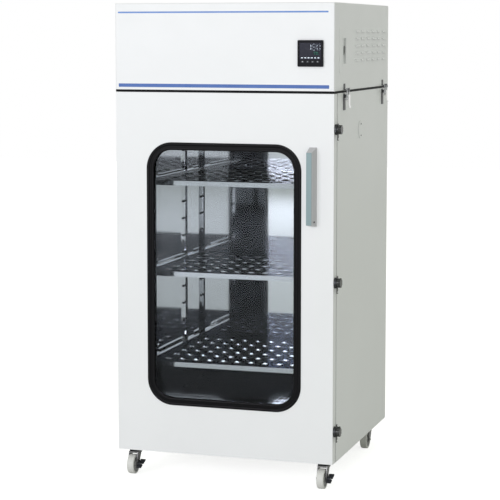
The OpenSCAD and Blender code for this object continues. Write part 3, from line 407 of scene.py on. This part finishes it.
# %% Aluminium, plastic, wool and filter
tree, shader, place = start_finish("aluminium_handle", (0.52, 0.52, 0.53), 0.25, 0.42)
streak_roughness(tree, place, shader, (900.0, 900.0, 12.0), 0.34, 0.48)
grip_face = add_level(tree, place, "Y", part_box("door_handle")[0][1] + 0.0009, 0.0004)
blend_colour(tree, grip_face, shader, (0.21, 0.29, 0.30), (0.52, 0.52, 0.53))

tree, shader, place = start_finish("plastic_black", (0.005, 0.005, 0.007), 0.0, 0.40)
shader.inputs["Specular IOR Level"].default_value = 0.08
add_grain(tree, place, shader, 1600.0, 0.2, 0.0002)

tree, shader, place = start_finish("key_dark", (0.028, 0.03, 0.036), 0.0, 0.5)
shader.inputs["Specular IOR Level"].default_value = 0.25
add_grain(tree, place, shader, 1600.0, 0.15, 0.0002)

tree, shader, place = start_finish("tread_grey", (0.72, 0.72, 0.69), 0.0, 0.5)
add_grain(tree, place, shader, 700.0, 0.2, 0.0002)

tree, shader, place = start_finish("wheel_disc", (0.33, 0.33, 0.33), 0.0, 0.45)
add_grain(tree, place, shader, 900.0, 0.15, 0.0002)

tree, shader, place = start_finish("stripe_blue", (0.022, 0.11, 0.40), 0.0, 0.35)
vary_roughness(tree, place, shader, 30.0, 0.3, 0.4)
mottle(tree, place, shader, 12.0, (0.020, 0.10, 0.38), (0.026, 0.12, 0.42))

tree, shader, place = start_finish("stripe_light", (0.10, 0.24, 0.60), 0.0, 0.35)
vary_roughness(tree, place, shader, 30.0, 0.3, 0.4)

# Near black with little sheen: the black rubber of the head gasket and its lip, and painted shade
# on the cap nuts, which stand in for the dark of the holes in the uprights.
tree, shader, place = start_finish("black_and_painted_shade", (0.006, 0.006, 0.007), 0.0, 0.6)
shader.inputs["Specular IOR Level"].default_value = 0.1
add_grain(tree, place, shader, 900.0, 0.1, 0.0002)

tree, shader, place = start_finish("wool_pale", (0.62, 0.57, 0.42), 0.0, 0.95)
add_grain(tree, place, shader, 260.0, 0.8, 0.002)

tree, shader, place = start_finish("filter_alloy", (0.66, 0.68, 0.69), 0.7, 0.45)
streak_roughness(tree, place, shader, (600.0, 8.0, 600.0), 0.38, 0.55)

# %% [markdown]
# ## Clear glass
# Toughened glass shows the room as a faint reflection and lets everything else through. The room
# is all white here, so the reflection is held down or it would lie over the chamber like fog. A
# path tracer finds it hard to light a room through glass, so shadow rays pass straight through.

# %% Glass
tree, shader, place = start_finish("glass_clear", (0.92, 0.94, 0.955), 0.0, 0.0)
shader.inputs["Transmission Weight"].default_value = 1.0
shader.inputs["IOR"].default_value = 1.5
shader.inputs["Specular Tint"].default_value = (0.16, 0.17, 0.19, 1)
shadow_pass = tree.nodes.new("ShaderNodeBsdfTransparent")
shadow_pass.inputs["Color"].default_value = (0.88, 0.92, 0.92, 1)
ray = tree.nodes.new("ShaderNodeLightPath")
pick = tree.nodes.new("ShaderNodeMixShader")
end = next(node for node in tree.nodes if node.type == "OUTPUT_MATERIAL")
tree.links.new(ray.outputs["Is Shadow Ray"], pick.inputs["Fac"])
tree.links.new(shader.outputs[0], pick.inputs[1])
tree.links.new(shadow_pass.outputs[0], pick.inputs[2])
tree.links.new(pick.outputs[0], end.inputs["Surface"])
print("finishes:", sorted(finishes))

# %% [markdown]
# ## Finish the frame's own parts
# The frame says which finish each part takes, and a few parts take one of their own instead.
# Giving a part its material leaves its mesh alone.

# %% Hand out the finishes
finish_of = {row["node"]: row["material_slot"] for row in frame["record"]["subparts"]}
# The toggle bases and the latch keepers take the near-black steel, partly their own dark finish
# and partly painted shade round the bright levers.
own_finish = {
    "shelf_bottom": "tray_steel_painted_reflection", "shelf_middle": "tray_steel_painted_reflection", "shelf_top": "tray_steel_painted_reflection",
    "front_frame": "brushed_steel_painted_shade", "door_liner": "brushed_steel_painted_shade", "head_gasket": "black_and_painted_shade",
    "toggle_bases": "steel_dark", "latch_keepers": "steel_dark", "pull_ring": "steel_dark",
    "caster_plates": "steel_dark", "brake_pedal_1": "key_dark", "brake_pedal_2": "key_dark",
}
for family, finish, count in (("controller_key", "key_dark", 4), ("caster_fork", "fork_grey", 4),
                              ("toggle_lever", "toggle_chrome", 4),
                              ("latch_knob", "latch_grey", 3)):
    for number in range(1, count + 1):
        own_finish["%s_%d" % (family, number)] = finish
finish_of.update(own_finish)
for name, part in parts.items():
    for holder in part.material_slots:
        holder.material = finishes[finish_of[name]]
    if not part.material_slots:
        part.data.materials.append(finishes[finish_of[name]])
print("finished parts:", len(parts))

# %% [markdown]
# ## Edges that catch the light
# Folded sheet has no knife edges. The frame's parts have sharp ones, so a bevel modifier rounds
# each by a hair. Weld and dissolve come first, because the frame's meshes are loose triangles and
# a bevel needs whole faces to run along. The meshes themselves stay as they came.

# %% Round the sheet edges
def soften(name, width):
    """Rounds a frame part's sharp edges by a small width, in metres."""
    part = parts[name]
    part.modifiers.new("join_triangles", "WELD").merge_threshold = 0.00001
    flat = part.modifiers.new("whole_faces", "DECIMATE")
    flat.decimate_type = "DISSOLVE"
    flat.angle_limit = math.radians(1.0)
    edge = part.modifiers.new("soft_edges", "BEVEL")
    edge.width = width
    edge.segments = 2
    edge.limit_method = "ANGLE"
    edge.angle_limit = math.radians(40)


soft_edges = {
    "door_skin": 0.0012, "case_panels": 0.0007, "head_front": 0.0007, "head_panels": 0.0007,
    "controller_case": 0.0012, "door_handle": 0.0007, "port_cover": 0.001, "recess_pan": 0.0005,
    "hinge_brackets": 0.0006, "toggle_bases": 0.0004, "latch_keepers": 0.0004,
    "base_pan": 0.0007, "caster_plates": 0.0005,
}
for family, width, count in (("toggle_lever", 0.0004, 4), ("caster_fork", 0.0006, 4),
                             ("latch_knob", 0.0005, 3)):
    for number in range(1, count + 1):
        soft_edges["%s_%d" % (family, number)] = width
for name, width in soft_edges.items():
    soften(name, width)
print("parts with soft edges:", len(soft_edges))

# %% [markdown]
# ## Making a piece
# Each new piece starts as a bmesh. When its shape is ready it is merged, turned outwards, shaded
# smooth up to its corners, given its finish, and set to ride on the body that carries it.

# %% Piece helper
def make_piece(name, bm, finish, body, corner=35.0):
    """Turns a bmesh into a finished piece that rides on a body."""
    bmesh.ops.remove_doubles(bm, verts=bm.verts, dist=0.000002)
    bmesh.ops.recalc_face_normals(bm, faces=bm.faces)
    mesh = bpy.data.meshes.new(name)
    bm.to_mesh(mesh)
    bm.free()
    mesh.shade_smooth()
    mesh.set_sharp_from_angle(angle=math.radians(corner))
    mesh.materials.append(finishes[finish])
    piece = bpy.data.objects.new(name, mesh)
    bpy.context.scene.collection.objects.link(piece)
    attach(piece, body)
    print(name, "faces:", len(mesh.polygons))
    return piece


def curve_points(middle, radii, start, stop, count):
    """Points along part of an ellipse, in millimetres, with angles in degrees."""
    angles = [math.radians(start + (stop - start) * i / count) for i in range(count + 1)]
    return [(middle[0] + radii[0] * math.cos(a), middle[1] + radii[1] * math.sin(a))
            for a in angles]


# %% [markdown]
# ## Window rubber
# The window is held by one long extruded rubber section. It is pushed over the edge of the hole,
# takes the pane in its groove, and a filler strip pressed into its face locks it. So the piece is
# made as the real one is: one section, run up a side, turned round a corner, and so on until it
# meets itself.

# %% Run the rubber round the window
CORNER_STEPS = 14
CORNER_RADIUS = 0.1


def run_loop(bm, outline, middle, half_width, half_height, radius, face_y):
    """Runs a closed outline round a rounded rectangle that faces -Y. Sizes are in metres."""
    left, right = middle[0] - half_width, middle[0] + half_width
    low, high = middle[1] - half_height, middle[1] + half_height
    ring = [bm.verts.new((left + u / 1000, face_y - v / 1000, low + radius)) for u, v in outline]
    edges = [bm.edges.new((ring[i], ring[(i + 1) % len(ring)])) for i in range(len(ring))]
    corners = [(left + radius, high - radius), (right - radius, high - radius),
               (right - radius, low + radius), (left + radius, low + radius)]
    runs = [(0, high - low - 2 * radius), (right - left - 2 * radius, 0),
            (0, 2 * radius + low - high), (2 * radius + left - right, 0)]
    for (centre_x, centre_z), (dx, dz) in zip(corners, runs):
        grown = bmesh.ops.extrude_edge_only(bm, edges=edges)["geom"]
        verts = [g for g in grown if isinstance(g, bmesh.types.BMVert)]
        bmesh.ops.translate(bm, verts=verts, vec=(dx, 0, dz))
        edges = [g for g in grown if isinstance(g, bmesh.types.BMEdge)
                 and g.verts[0] in verts and g.verts[1] in verts]
        turned = bmesh.ops.spin(bm, geom=verts + edges, cent=(centre_x, face_y, centre_z),
                                axis=(0, 1, 0), dvec=(0, 0, 0), angle=math.radians(90),
                                steps=CORNER_STEPS)["geom_last"]
        edges = [g for g in turned if isinstance(g, bmesh.types.BMEdge)]


door_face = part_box("door_skin")[0][1]
window_low, window_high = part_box("window_rubber")
window_middle = ((window_low[0] + window_high[0]) / 2, (window_low[2] + window_high[2]) / 2)
section = curve_points((6.6, 0.1), (6.1, 3.9), 180, 15, 9)
section += [(13.4, 1.4), (13.9, 2.3), (17.3, 2.3), (17.8, 1.4)]
section += curve_points((24.0, 0.0), (5.7, 3.6), 158, 8, 8)
section += [(29.7, -0.15), (21.2, -0.15), (21.1, -5.5), (27.8, -5.7), (27.9, -8.2), (14.4, -8.4),
            (14.35, 0.03)]
bm = bmesh.new()
run_loop(bm, section, window_middle, (window_high[0] - window_low[0]) / 2,
         (window_high[2] - window_low[2]) / 2, CORNER_RADIUS, door_face)
rubber_piece = make_piece("window_rubber_profile", bm, "rubber_black", "door",
                          50.0)
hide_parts("window_rubber")

# %% [markdown]
# ## Film stripes
# Two blue stripes cross the front of the head. They are self-adhesive film, a seventh of a
# millimetre thick with small round corners, and the upper one is thinner and lighter.

# %% Lay the stripes
FILM_CORNER, FILM_THICK = 0.0012, 0.00014
STRIPE_THICK_SPAN = ((-0.413, 1.4885), (0.406, 1.5015))
STRIPE_THIN_SPAN = ((-0.414, 1.7635), (0.402, 1.7695))


def film_strip(name, span, face_y, finish, corner=FILM_CORNER, thick=FILM_THICK):
    """A flat film on a face that looks along -Y, between two corners (x, z)."""
    low, high = span
    bm = bmesh.new()
    bmesh.ops.create_grid(bm, x_segments=1, y_segments=1, size=0.5)
    bmesh.ops.scale(bm, vec=(high[0] - low[0], high[1] - low[1], 1), verts=bm.verts)
    bmesh.ops.bevel(bm, geom=list(bm.verts), offset=corner, offset_type="OFFSET",
                    affect="VERTICES", segments=4, profile=0.5, material=-1)
    bmesh.ops.rotate(bm, verts=bm.verts, cent=(0, 0, 0),
                     matrix=Matrix.Rotation(math.radians(90), 3, "X"))
    bmesh.ops.translate(bm, verts=bm.verts,
                        vec=((low[0] + high[0]) / 2, face_y, (low[1] + high[1]) / 2))
    bmesh.ops.solidify(bm, geom=list(bm.faces), thickness=thick)
    reach = max(v.co.y for v in bm.verts)
    bmesh.ops.translate(bm, verts=bm.verts, vec=(0, face_y - reach, 0))
    return make_piece(name, bm, finish, "cabinet")


head_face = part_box("head_front")[0][1]
film_strip("stripe_thick", STRIPE_THICK_SPAN, head_face, "stripe_blue")
film_strip("stripe_thin", STRIPE_THIN_SPAN, head_face, "stripe_light")

# %% [markdown]
# ## Controller display
# The controller is a square instrument with a dark window. Behind the window glow two rows of
# seven-segment digits, white for the reading and green for the setting, over a row of small bars.
# The window is a bevelled pane, and each lit segment is a thin flat shape just behind its face.

# %% Display finishes
tree, shader, place = start_finish("display_pane", (0.006, 0.008, 0.02), 0.0, 0.12)
vary_roughness(tree, place, shader, 80.0, 0.08, 0.18)
shader.inputs["Specular IOR Level"].default_value = 0.12
# The last of these, for the marks on the keys, is print given a faint painted glow, since the keys
# are no lamps.
GLOWS = (("digit_white", (0.75, 0.84, 0.95), 1.1), ("digit_green", (0.08, 0.70, 0.42), 0.9),
         ("bar_grey", (0.30, 0.32, 0.36), 0.25), ("mark_pale", (0.55, 0.57, 0.6), 0.1))
for name, colour, power in GLOWS:
    tree, shader, place = start_finish(name, colour, 0.0, 0.5)
    mottle(tree, place, shader, 700.0, tuple(c * 0.9 for c in colour),
           colour)
    shader.inputs["Emission Color"].default_value = (*colour, 1)
    shader.inputs["Emission Strength"].default_value = power

# %% Window, digits and bars
CONTROL_X, CONTROL_Z = 0.336, 1.616
PANE_HALF, PANE_DOWN, PANE_UP, PANE_CORNER, PANE_THICK = 0.0405, 0.0225, 0.0385, 0.002, 0.0007
screen_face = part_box("controller_case")[0][1] + 0.0012
lit_face = screen_face - PANE_THICK
pane_span = ((CONTROL_X - PANE_HALF, CONTROL_Z - PANE_DOWN),
             (CONTROL_X + PANE_HALF, CONTROL_Z + PANE_UP))
film_strip("display_window", pane_span, screen_face, "display_pane",
           PANE_CORNER, PANE_THICK)
SEGMENTS = {"0": "abcdef", "1": "bc", "8": "abcdefg"}
SPOTS = {"a": (0, 1, 1), "b": (0.5, 0.5, 0), "c": (0.5, -0.5, 0), "d": (0, -1, 1),
         "e": (-0.5, -0.5, 0), "f": (-0.5, 0.5, 0), "g": (0, 0, 1)}


def add_bar(bm, x, z, width, height, face_y):
    """One flat bar with cut corners, facing -Y."""
    bar = bmesh.ops.create_grid(bm, x_segments=1, y_segments=1, size=0.5,
                                matrix=Matrix.Translation((x, face_y, z))
                                @ Matrix.Rotation(math.radians(90), 4, "X")
                                @ Matrix.Diagonal((width, height, 1, 1)))["verts"]
    bmesh.ops.bevel(bm, geom=bar, offset=min(width, height) * 0.4, offset_type="OFFSET",
                    affect="VERTICES", segments=1, profile=0.5, material=-1)


def digits(name, text, x, z, height, finish):
    """A row of seven-segment digits, whose middle is at x and z."""
    half, wide, thick = height / 2, height * 0.5, height * 0.13
    bm = bmesh.new()
    for index, sign in enumerate(text):
        centre = x + (index - (len(text) - 1) / 2) * height * 0.78
        for segment in SEGMENTS[sign]:
            sx, sz, flat = SPOTS[segment]
            size = (wide - thick, thick) if flat else (thick, half - thick)
            add_bar(bm, centre + sx * wide, z + sz * half, size[0], size[1], lit_face)
    bmesh.ops.solidify(bm, geom=list(bm.faces), thickness=0.00008)
    return make_piece(name, bm, finish, "cabinet")


digits("digits_reading", "180", CONTROL_X + 0.014, CONTROL_Z + 0.0225, 0.022, "digit_white")
digits("digits_setting", "180", CONTROL_X + 0.020, CONTROL_Z + 0.0005, 0.011, "digit_green")
BAR_Z, DASH_PITCH, BAR_THICK = CONTROL_Z - 0.016, 0.0124, 0.00005
bm = bmesh.new()
add_bar(bm, CONTROL_X, BAR_Z, 0.076, 0.0042, lit_face)
bmesh.ops.solidify(bm, geom=list(bm.faces), thickness=BAR_THICK)
make_piece("display_bar", bm, "bar_grey", "cabinet")
bm = bmesh.new()
for i in range(6):
    add_bar(bm, CONTROL_X + (i - 2.5) * DASH_PITCH, BAR_Z, 0.0076, 0.0022, lit_face - 0.00006)
bmesh.ops.solidify(bm, geom=list(bm.faces), thickness=BAR_THICK)
make_piece("display_dashes", bm, "digit_white", "cabinet")

# %% Marks on the keys
# Each mark is pale print with a faint painted glow.
MARK_RADIUS = 0.0019
MARKS = {1: (24, 0), 2: (3, 0), 3: (3, 180), 4: (4, 45)}  # corners and turn of each mark
for number, (corners, turn) in MARKS.items():
    low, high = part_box("controller_key_%d" % number)
    spot = ((low[0] + high[0]) / 2, low[1], (low[2] + high[2]) / 2)
    bm = bmesh.new()
    bmesh.ops.create_circle(bm, cap_ends=True, segments=corners, radius=MARK_RADIUS,
                            matrix=Matrix.Translation(spot)
                            @ Matrix.Rotation(math.radians(turn), 4, "Y")
                            @ Matrix.Rotation(math.radians(90), 4, "X"))
    bmesh.ops.solidify(bm, geom=list(bm.faces), thickness=0.00012)
    reach = max(v.co.y for v in bm.verts)
    bmesh.ops.translate(bm, verts=bm.verts, vec=(0, low[1] - reach, 0))
    make_piece("key_mark_%d" % number, bm, "mark_pale", "key_%d" % number)

# %% [markdown]
# ## Caster wheels
# A caster wheel of this kind is a pale rubber tread moulded on a grey disc. Both are turned
# shapes, so each is the cross-section of one side of the wheel, spun round the axle.

# %% Spin the wheels
def spin_x(outline, middle, steps):
    """Spins a closed outline of (radius, x) points, in millimetres, about an axle along X."""
    bm = bmesh.new()
    ring = [bm.verts.new((middle[0] + x / 1000, middle[1], middle[2] + r / 1000))
            for r, x in outline]
    edges = [bm.edges.new((ring[i], ring[(i + 1) % len(ring)])) for i in range(len(ring))]
    bmesh.ops.spin(bm, geom=ring + edges, cent=middle, axis=(1, 0, 0), dvec=(0, 0, 0),
                   angle=math.radians(360), steps=steps, use_merge=True)
    return bm


tread_outline = [(29.5, -12.4), (30.3, -13.6)]
tread_outline += [(33.0 + 4.5 * math.sin(a), -9.6 - 4.3 * math.cos(a))
                  for a in (math.radians(15 * i) for i in range(7))]
tread_outline += [(37.5, 0.0)] + [(r, -x) for r, x in reversed(tread_outline)]
disc_half = [(4.25, -14.0), (12.0, -14.0), (12.8, -13.4), (14.2, -10.2), (16.0, -9.6),
             (25.5, -9.6), (27.2, -10.2), (28.6, -12.6), (29.5, -12.4)]
disc_outline = disc_half + [(r, -x) for r, x in reversed(disc_half)]
for number in (1, 2, 3, 4):
    low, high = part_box("caster_wheel_%d" % number)
    axle = tuple((a + b) / 2 for a, b in zip(low, high))
    tread_piece = make_piece("caster_tread_%d" % number, spin_x(tread_outline, axle, 56),
                             "tread_grey", "wheel_%d" % number)
    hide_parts("caster_wheel_%d" % number)
    make_piece("caster_disc_%d" % number, spin_x(disc_outline, axle, 48),
               "wheel_disc", "wheel_%d" % number)

# %% [markdown]
# ## Small screws
# The port cover is held by two small domed screws, and the handle by one at its foot. Each head
# is half an outline spun once round its own middle, and then turned to face the way it looks.

# %% Turn the screws
def pan_screw(name, place, facing, width, body):
    """A pan head whose flat side sits at a place and whose dome looks along a direction."""
    r, h = width / 2, width * 0.32
    turn = Vector(facing).to_track_quat("Z", "Y").to_matrix().to_4x4()
    bm = bmesh.new()
    outline = [(0.0, h), (r * 0.45, h * 0.97), (r * 0.8, h * 0.8), (r * 0.97, h * 0.45), (r, 0)]
    line = [bm.verts.new((radius, 0, up)) for radius, up in outline]
    edges = [bm.edges.new(pair) for pair in zip(line, line[1:])]
    bmesh.ops.spin(bm, geom=line + edges, cent=(0, 0, 0), axis=(0, 0, 1), dvec=(0, 0, 0),
                   angle=math.radians(360), steps=20, use_merge=True)
    bmesh.ops.remove_doubles(bm, verts=bm.verts, dist=0.000001)
    bmesh.ops.contextual_create(bm, geom=[e for e in bm.edges if e.is_boundary])
    bmesh.ops.transform(bm, matrix=Matrix.Translation(place) @ turn, verts=bm.verts)
    make_piece(name, bm, "steel_dark", body)


PORT_SCREW_UP, PORT_SCREW_WIDTH, HANDLE_SCREW_WIDTH = 0.022, 0.0055, 0.007
HANDLE_SCREW_PLACE, HANDLE_SIDE = (0.3562, door_face - 0.0192, 1.003), (0.967, -0.254, 0)
cover_low, cover_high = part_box("port_cover")
cover_y, cover_z = (cover_low[1] + cover_high[1]) / 2, (cover_low[2] + cover_high[2]) / 2
for number, up in ((1, PORT_SCREW_UP), (2, -PORT_SCREW_UP)):
    pan_screw("port_screw_%d" % number, (cover_high[0], cover_y, cover_z + up), (1, 0, 0),
              PORT_SCREW_WIDTH, "cabinet")
pan_screw("handle_screw", HANDLE_SCREW_PLACE, HANDLE_SIDE, HANDLE_SCREW_WIDTH, "door")

# %% [markdown]
# ## Rims round the shelf slots
# The slots of every second row are drawn as they are punched, which stiffens the tray, so a low
# collar stands round each of them. Seen nearly edge on, the tray, whose dark colour is a painted
# reflection, hides its slots, and the bright collars are what shows. One collar is four loops
# bridged into a ring, and the others are copies of it moved to the other slots.

# %% Ring the slots
SLOT_PITCH, ROW_PITCH, TRAY_MARGIN = 0.056, 0.045, 0.020
COLLAR_STRETCH, COLLAR_CORNERS = 0.006, 12
COLLAR_LOOPS = ((0.0070, 0.0), (0.0060, 0.0026), (0.0046, 0.0026), (0.0040, 0.0))  # radius, height


def slot_rims(name, tray):
    """A low collar round each slot in every second row of a tray."""
    low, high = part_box(tray)
    middle_y, half = (low[1] + high[1]) / 2, high[0]
    columns = int((half - TRAY_MARGIN) / SLOT_PITCH)
    rows = int((high[1] - low[1] - ROW_PITCH) / ROW_PITCH)
    places = [(column * SLOT_PITCH, middle_y + (row - (rows - 1) / 2) * ROW_PITCH)
              for row in range(0, rows, 2) for column in range(-columns, columns + 1)]
    bm = bmesh.new()
    loops = []
    for radius, up in COLLAR_LOOPS:
        verts = bmesh.ops.create_circle(bm, segments=COLLAR_CORNERS, radius=radius,
                                        matrix=Matrix.Translation((0, 0, high[2] + up))
                                        @ Matrix.Rotation(math.radians(15), 4, "Z"))["verts"]
        for vert in verts:
            vert.co.x += COLLAR_STRETCH if vert.co.x > 0 else -COLLAR_STRETCH
        loops.append(list({edge for vert in verts for edge in vert.link_edges}))
    for i in range(len(loops)):
        bmesh.ops.bridge_loops(bm, edges=loops[i] + loops[(i + 1) % len(loops)])
    first = list(bm.verts) + list(bm.edges) + list(bm.faces)
    for x, y in places[1:]:
        copy = bmesh.ops.duplicate(bm, geom=first)["geom"]
        bmesh.ops.translate(bm, verts=[g for g in copy if isinstance(g, bmesh.types.BMVert)],
                            vec=(x, y, 0))
    bmesh.ops.translate(bm, verts=[g for g in first if isinstance(g, bmesh.types.BMVert)],
                        vec=(*places[0], 0))
    return make_piece(name, bm, "rim_bright", "cabinet")


tree, shader, place = start_finish("rim_bright", (0.66, 0.665, 0.675), 1.0, 0.2)
vary_roughness(tree, place, shader, 300.0, 0.16, 0.26)
for level in ("bottom", "middle", "top"):
    slot_rims("slot_rims_" + level, "shelf_" + level)

# %% [markdown]
# ## Lip of the head gasket
# Clamped down, the gasket under the head bulges out of its joint. The lip is a rounded sheet as
# wide as the cabinet, cut out to a thin band and thickened until it covers the joint.

# %% Fit the lip
gasket_low, gasket_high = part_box("head_gasket")
LIP_OUT, LIP_UP, LIP_BAND, LIP_CORNER = 0.0019, 0.0012, 0.003, 0.005
reach = (gasket_high[0] - gasket_low[0]) / 2 + LIP_OUT
lip_front, lip_back = door_face - 0.0005, gasket_high[1] + LIP_OUT
bm = bmesh.new()
bmesh.ops.create_grid(bm, x_segments=1, y_segments=1, size=0.5)
bmesh.ops.scale(bm, vec=(2 * reach, lip_back - lip_front, 1), verts=bm.verts)
bmesh.ops.bevel(bm, geom=list(bm.verts), offset=LIP_CORNER, offset_type="OFFSET",
                affect="VERTICES", segments=5, profile=0.5, material=-1)
bmesh.ops.translate(bm, verts=bm.verts,
                    vec=(0, (lip_front + lip_back) / 2, gasket_low[2] - LIP_UP))
sheet = list(bm.faces)
bmesh.ops.inset_region(bm, faces=sheet, thickness=LIP_BAND, use_even_offset=True,
                       use_boundary=True)
bmesh.ops.delete(bm, geom=sheet, context="FACES_ONLY")
lip_height = gasket_high[2] - gasket_low[2] + 2 * LIP_UP
bmesh.ops.solidify(bm, geom=list(bm.faces), thickness=-lip_height)
print("lip from", min(v.co.z for v in bm.verts), "to", max(v.co.z for v in bm.verts))
make_piece("gasket_lip", bm, "black_and_painted_shade", "cabinet")

# %% [markdown]
# ## Cap nuts on the uprights
# The uprights are held to the walls by a row of bolts through the holes in their flanges, and a
# cap nut closes each. The nuts are near black, which is painted shade standing in for the dark of
# the holes, so from the side they stand out as small black beads. A cap nut is a dome on a short
# drum, and one outline spun round gives both.

# %% Cap the bolts
WALL_X, UPRIGHTS_Y, FLANGE_REACH = 0.3640, (0.216 - 0.419, 0.627 - 0.419), 0.052
FIRST_HOLE, HOLE_PITCH, HOLE_COUNT = 0.235, 0.07, 17
NUT_RADIUS, NUT_DRUM, NUT_DOME = 4.6, 3.2, 3.6
nut_outline = [(NUT_RADIUS, 0.0), (NUT_RADIUS, NUT_DRUM)]
nut_outline += [(NUT_RADIUS * math.cos(a), NUT_DRUM + NUT_DOME * math.sin(a))
                for a in (math.radians(22.5 * i) for i in range(1, 4))]
nut_outline += [(0.0, NUT_DRUM + NUT_DOME)]


def cap_nut(bm, place, side):
    """A small domed nut whose foot sits at a place and which points inwards from a side wall."""
    line = [bm.verts.new((place[0] - side * up / 1000, place[1], place[2] + radius / 1000))
            for radius, up in nut_outline]
    edges = [bm.edges.new(pair) for pair in zip(line, line[1:])]
    bmesh.ops.spin(bm, geom=line + edges, cent=place, axis=(1, 0, 0), dvec=(0, 0, 0),
                   angle=math.radians(360), steps=10, use_merge=True)


bm = bmesh.new()
for side in (-1, 1):
    for upright_y in UPRIGHTS_Y:
        for offset in (-FLANGE_REACH, FLANGE_REACH):
            for row in range(HOLE_COUNT):
                place = (side * WALL_X, upright_y + offset, FIRST_HOLE + HOLE_PITCH * row)
                cap_nut(bm, Vector(place), side)
make_piece("upright_cap_nuts", bm, "black_and_painted_shade", "cabinet", 50.0)

# %% Set the view transform
bpy.context.scene.view_settings.view_transform = "Standard"
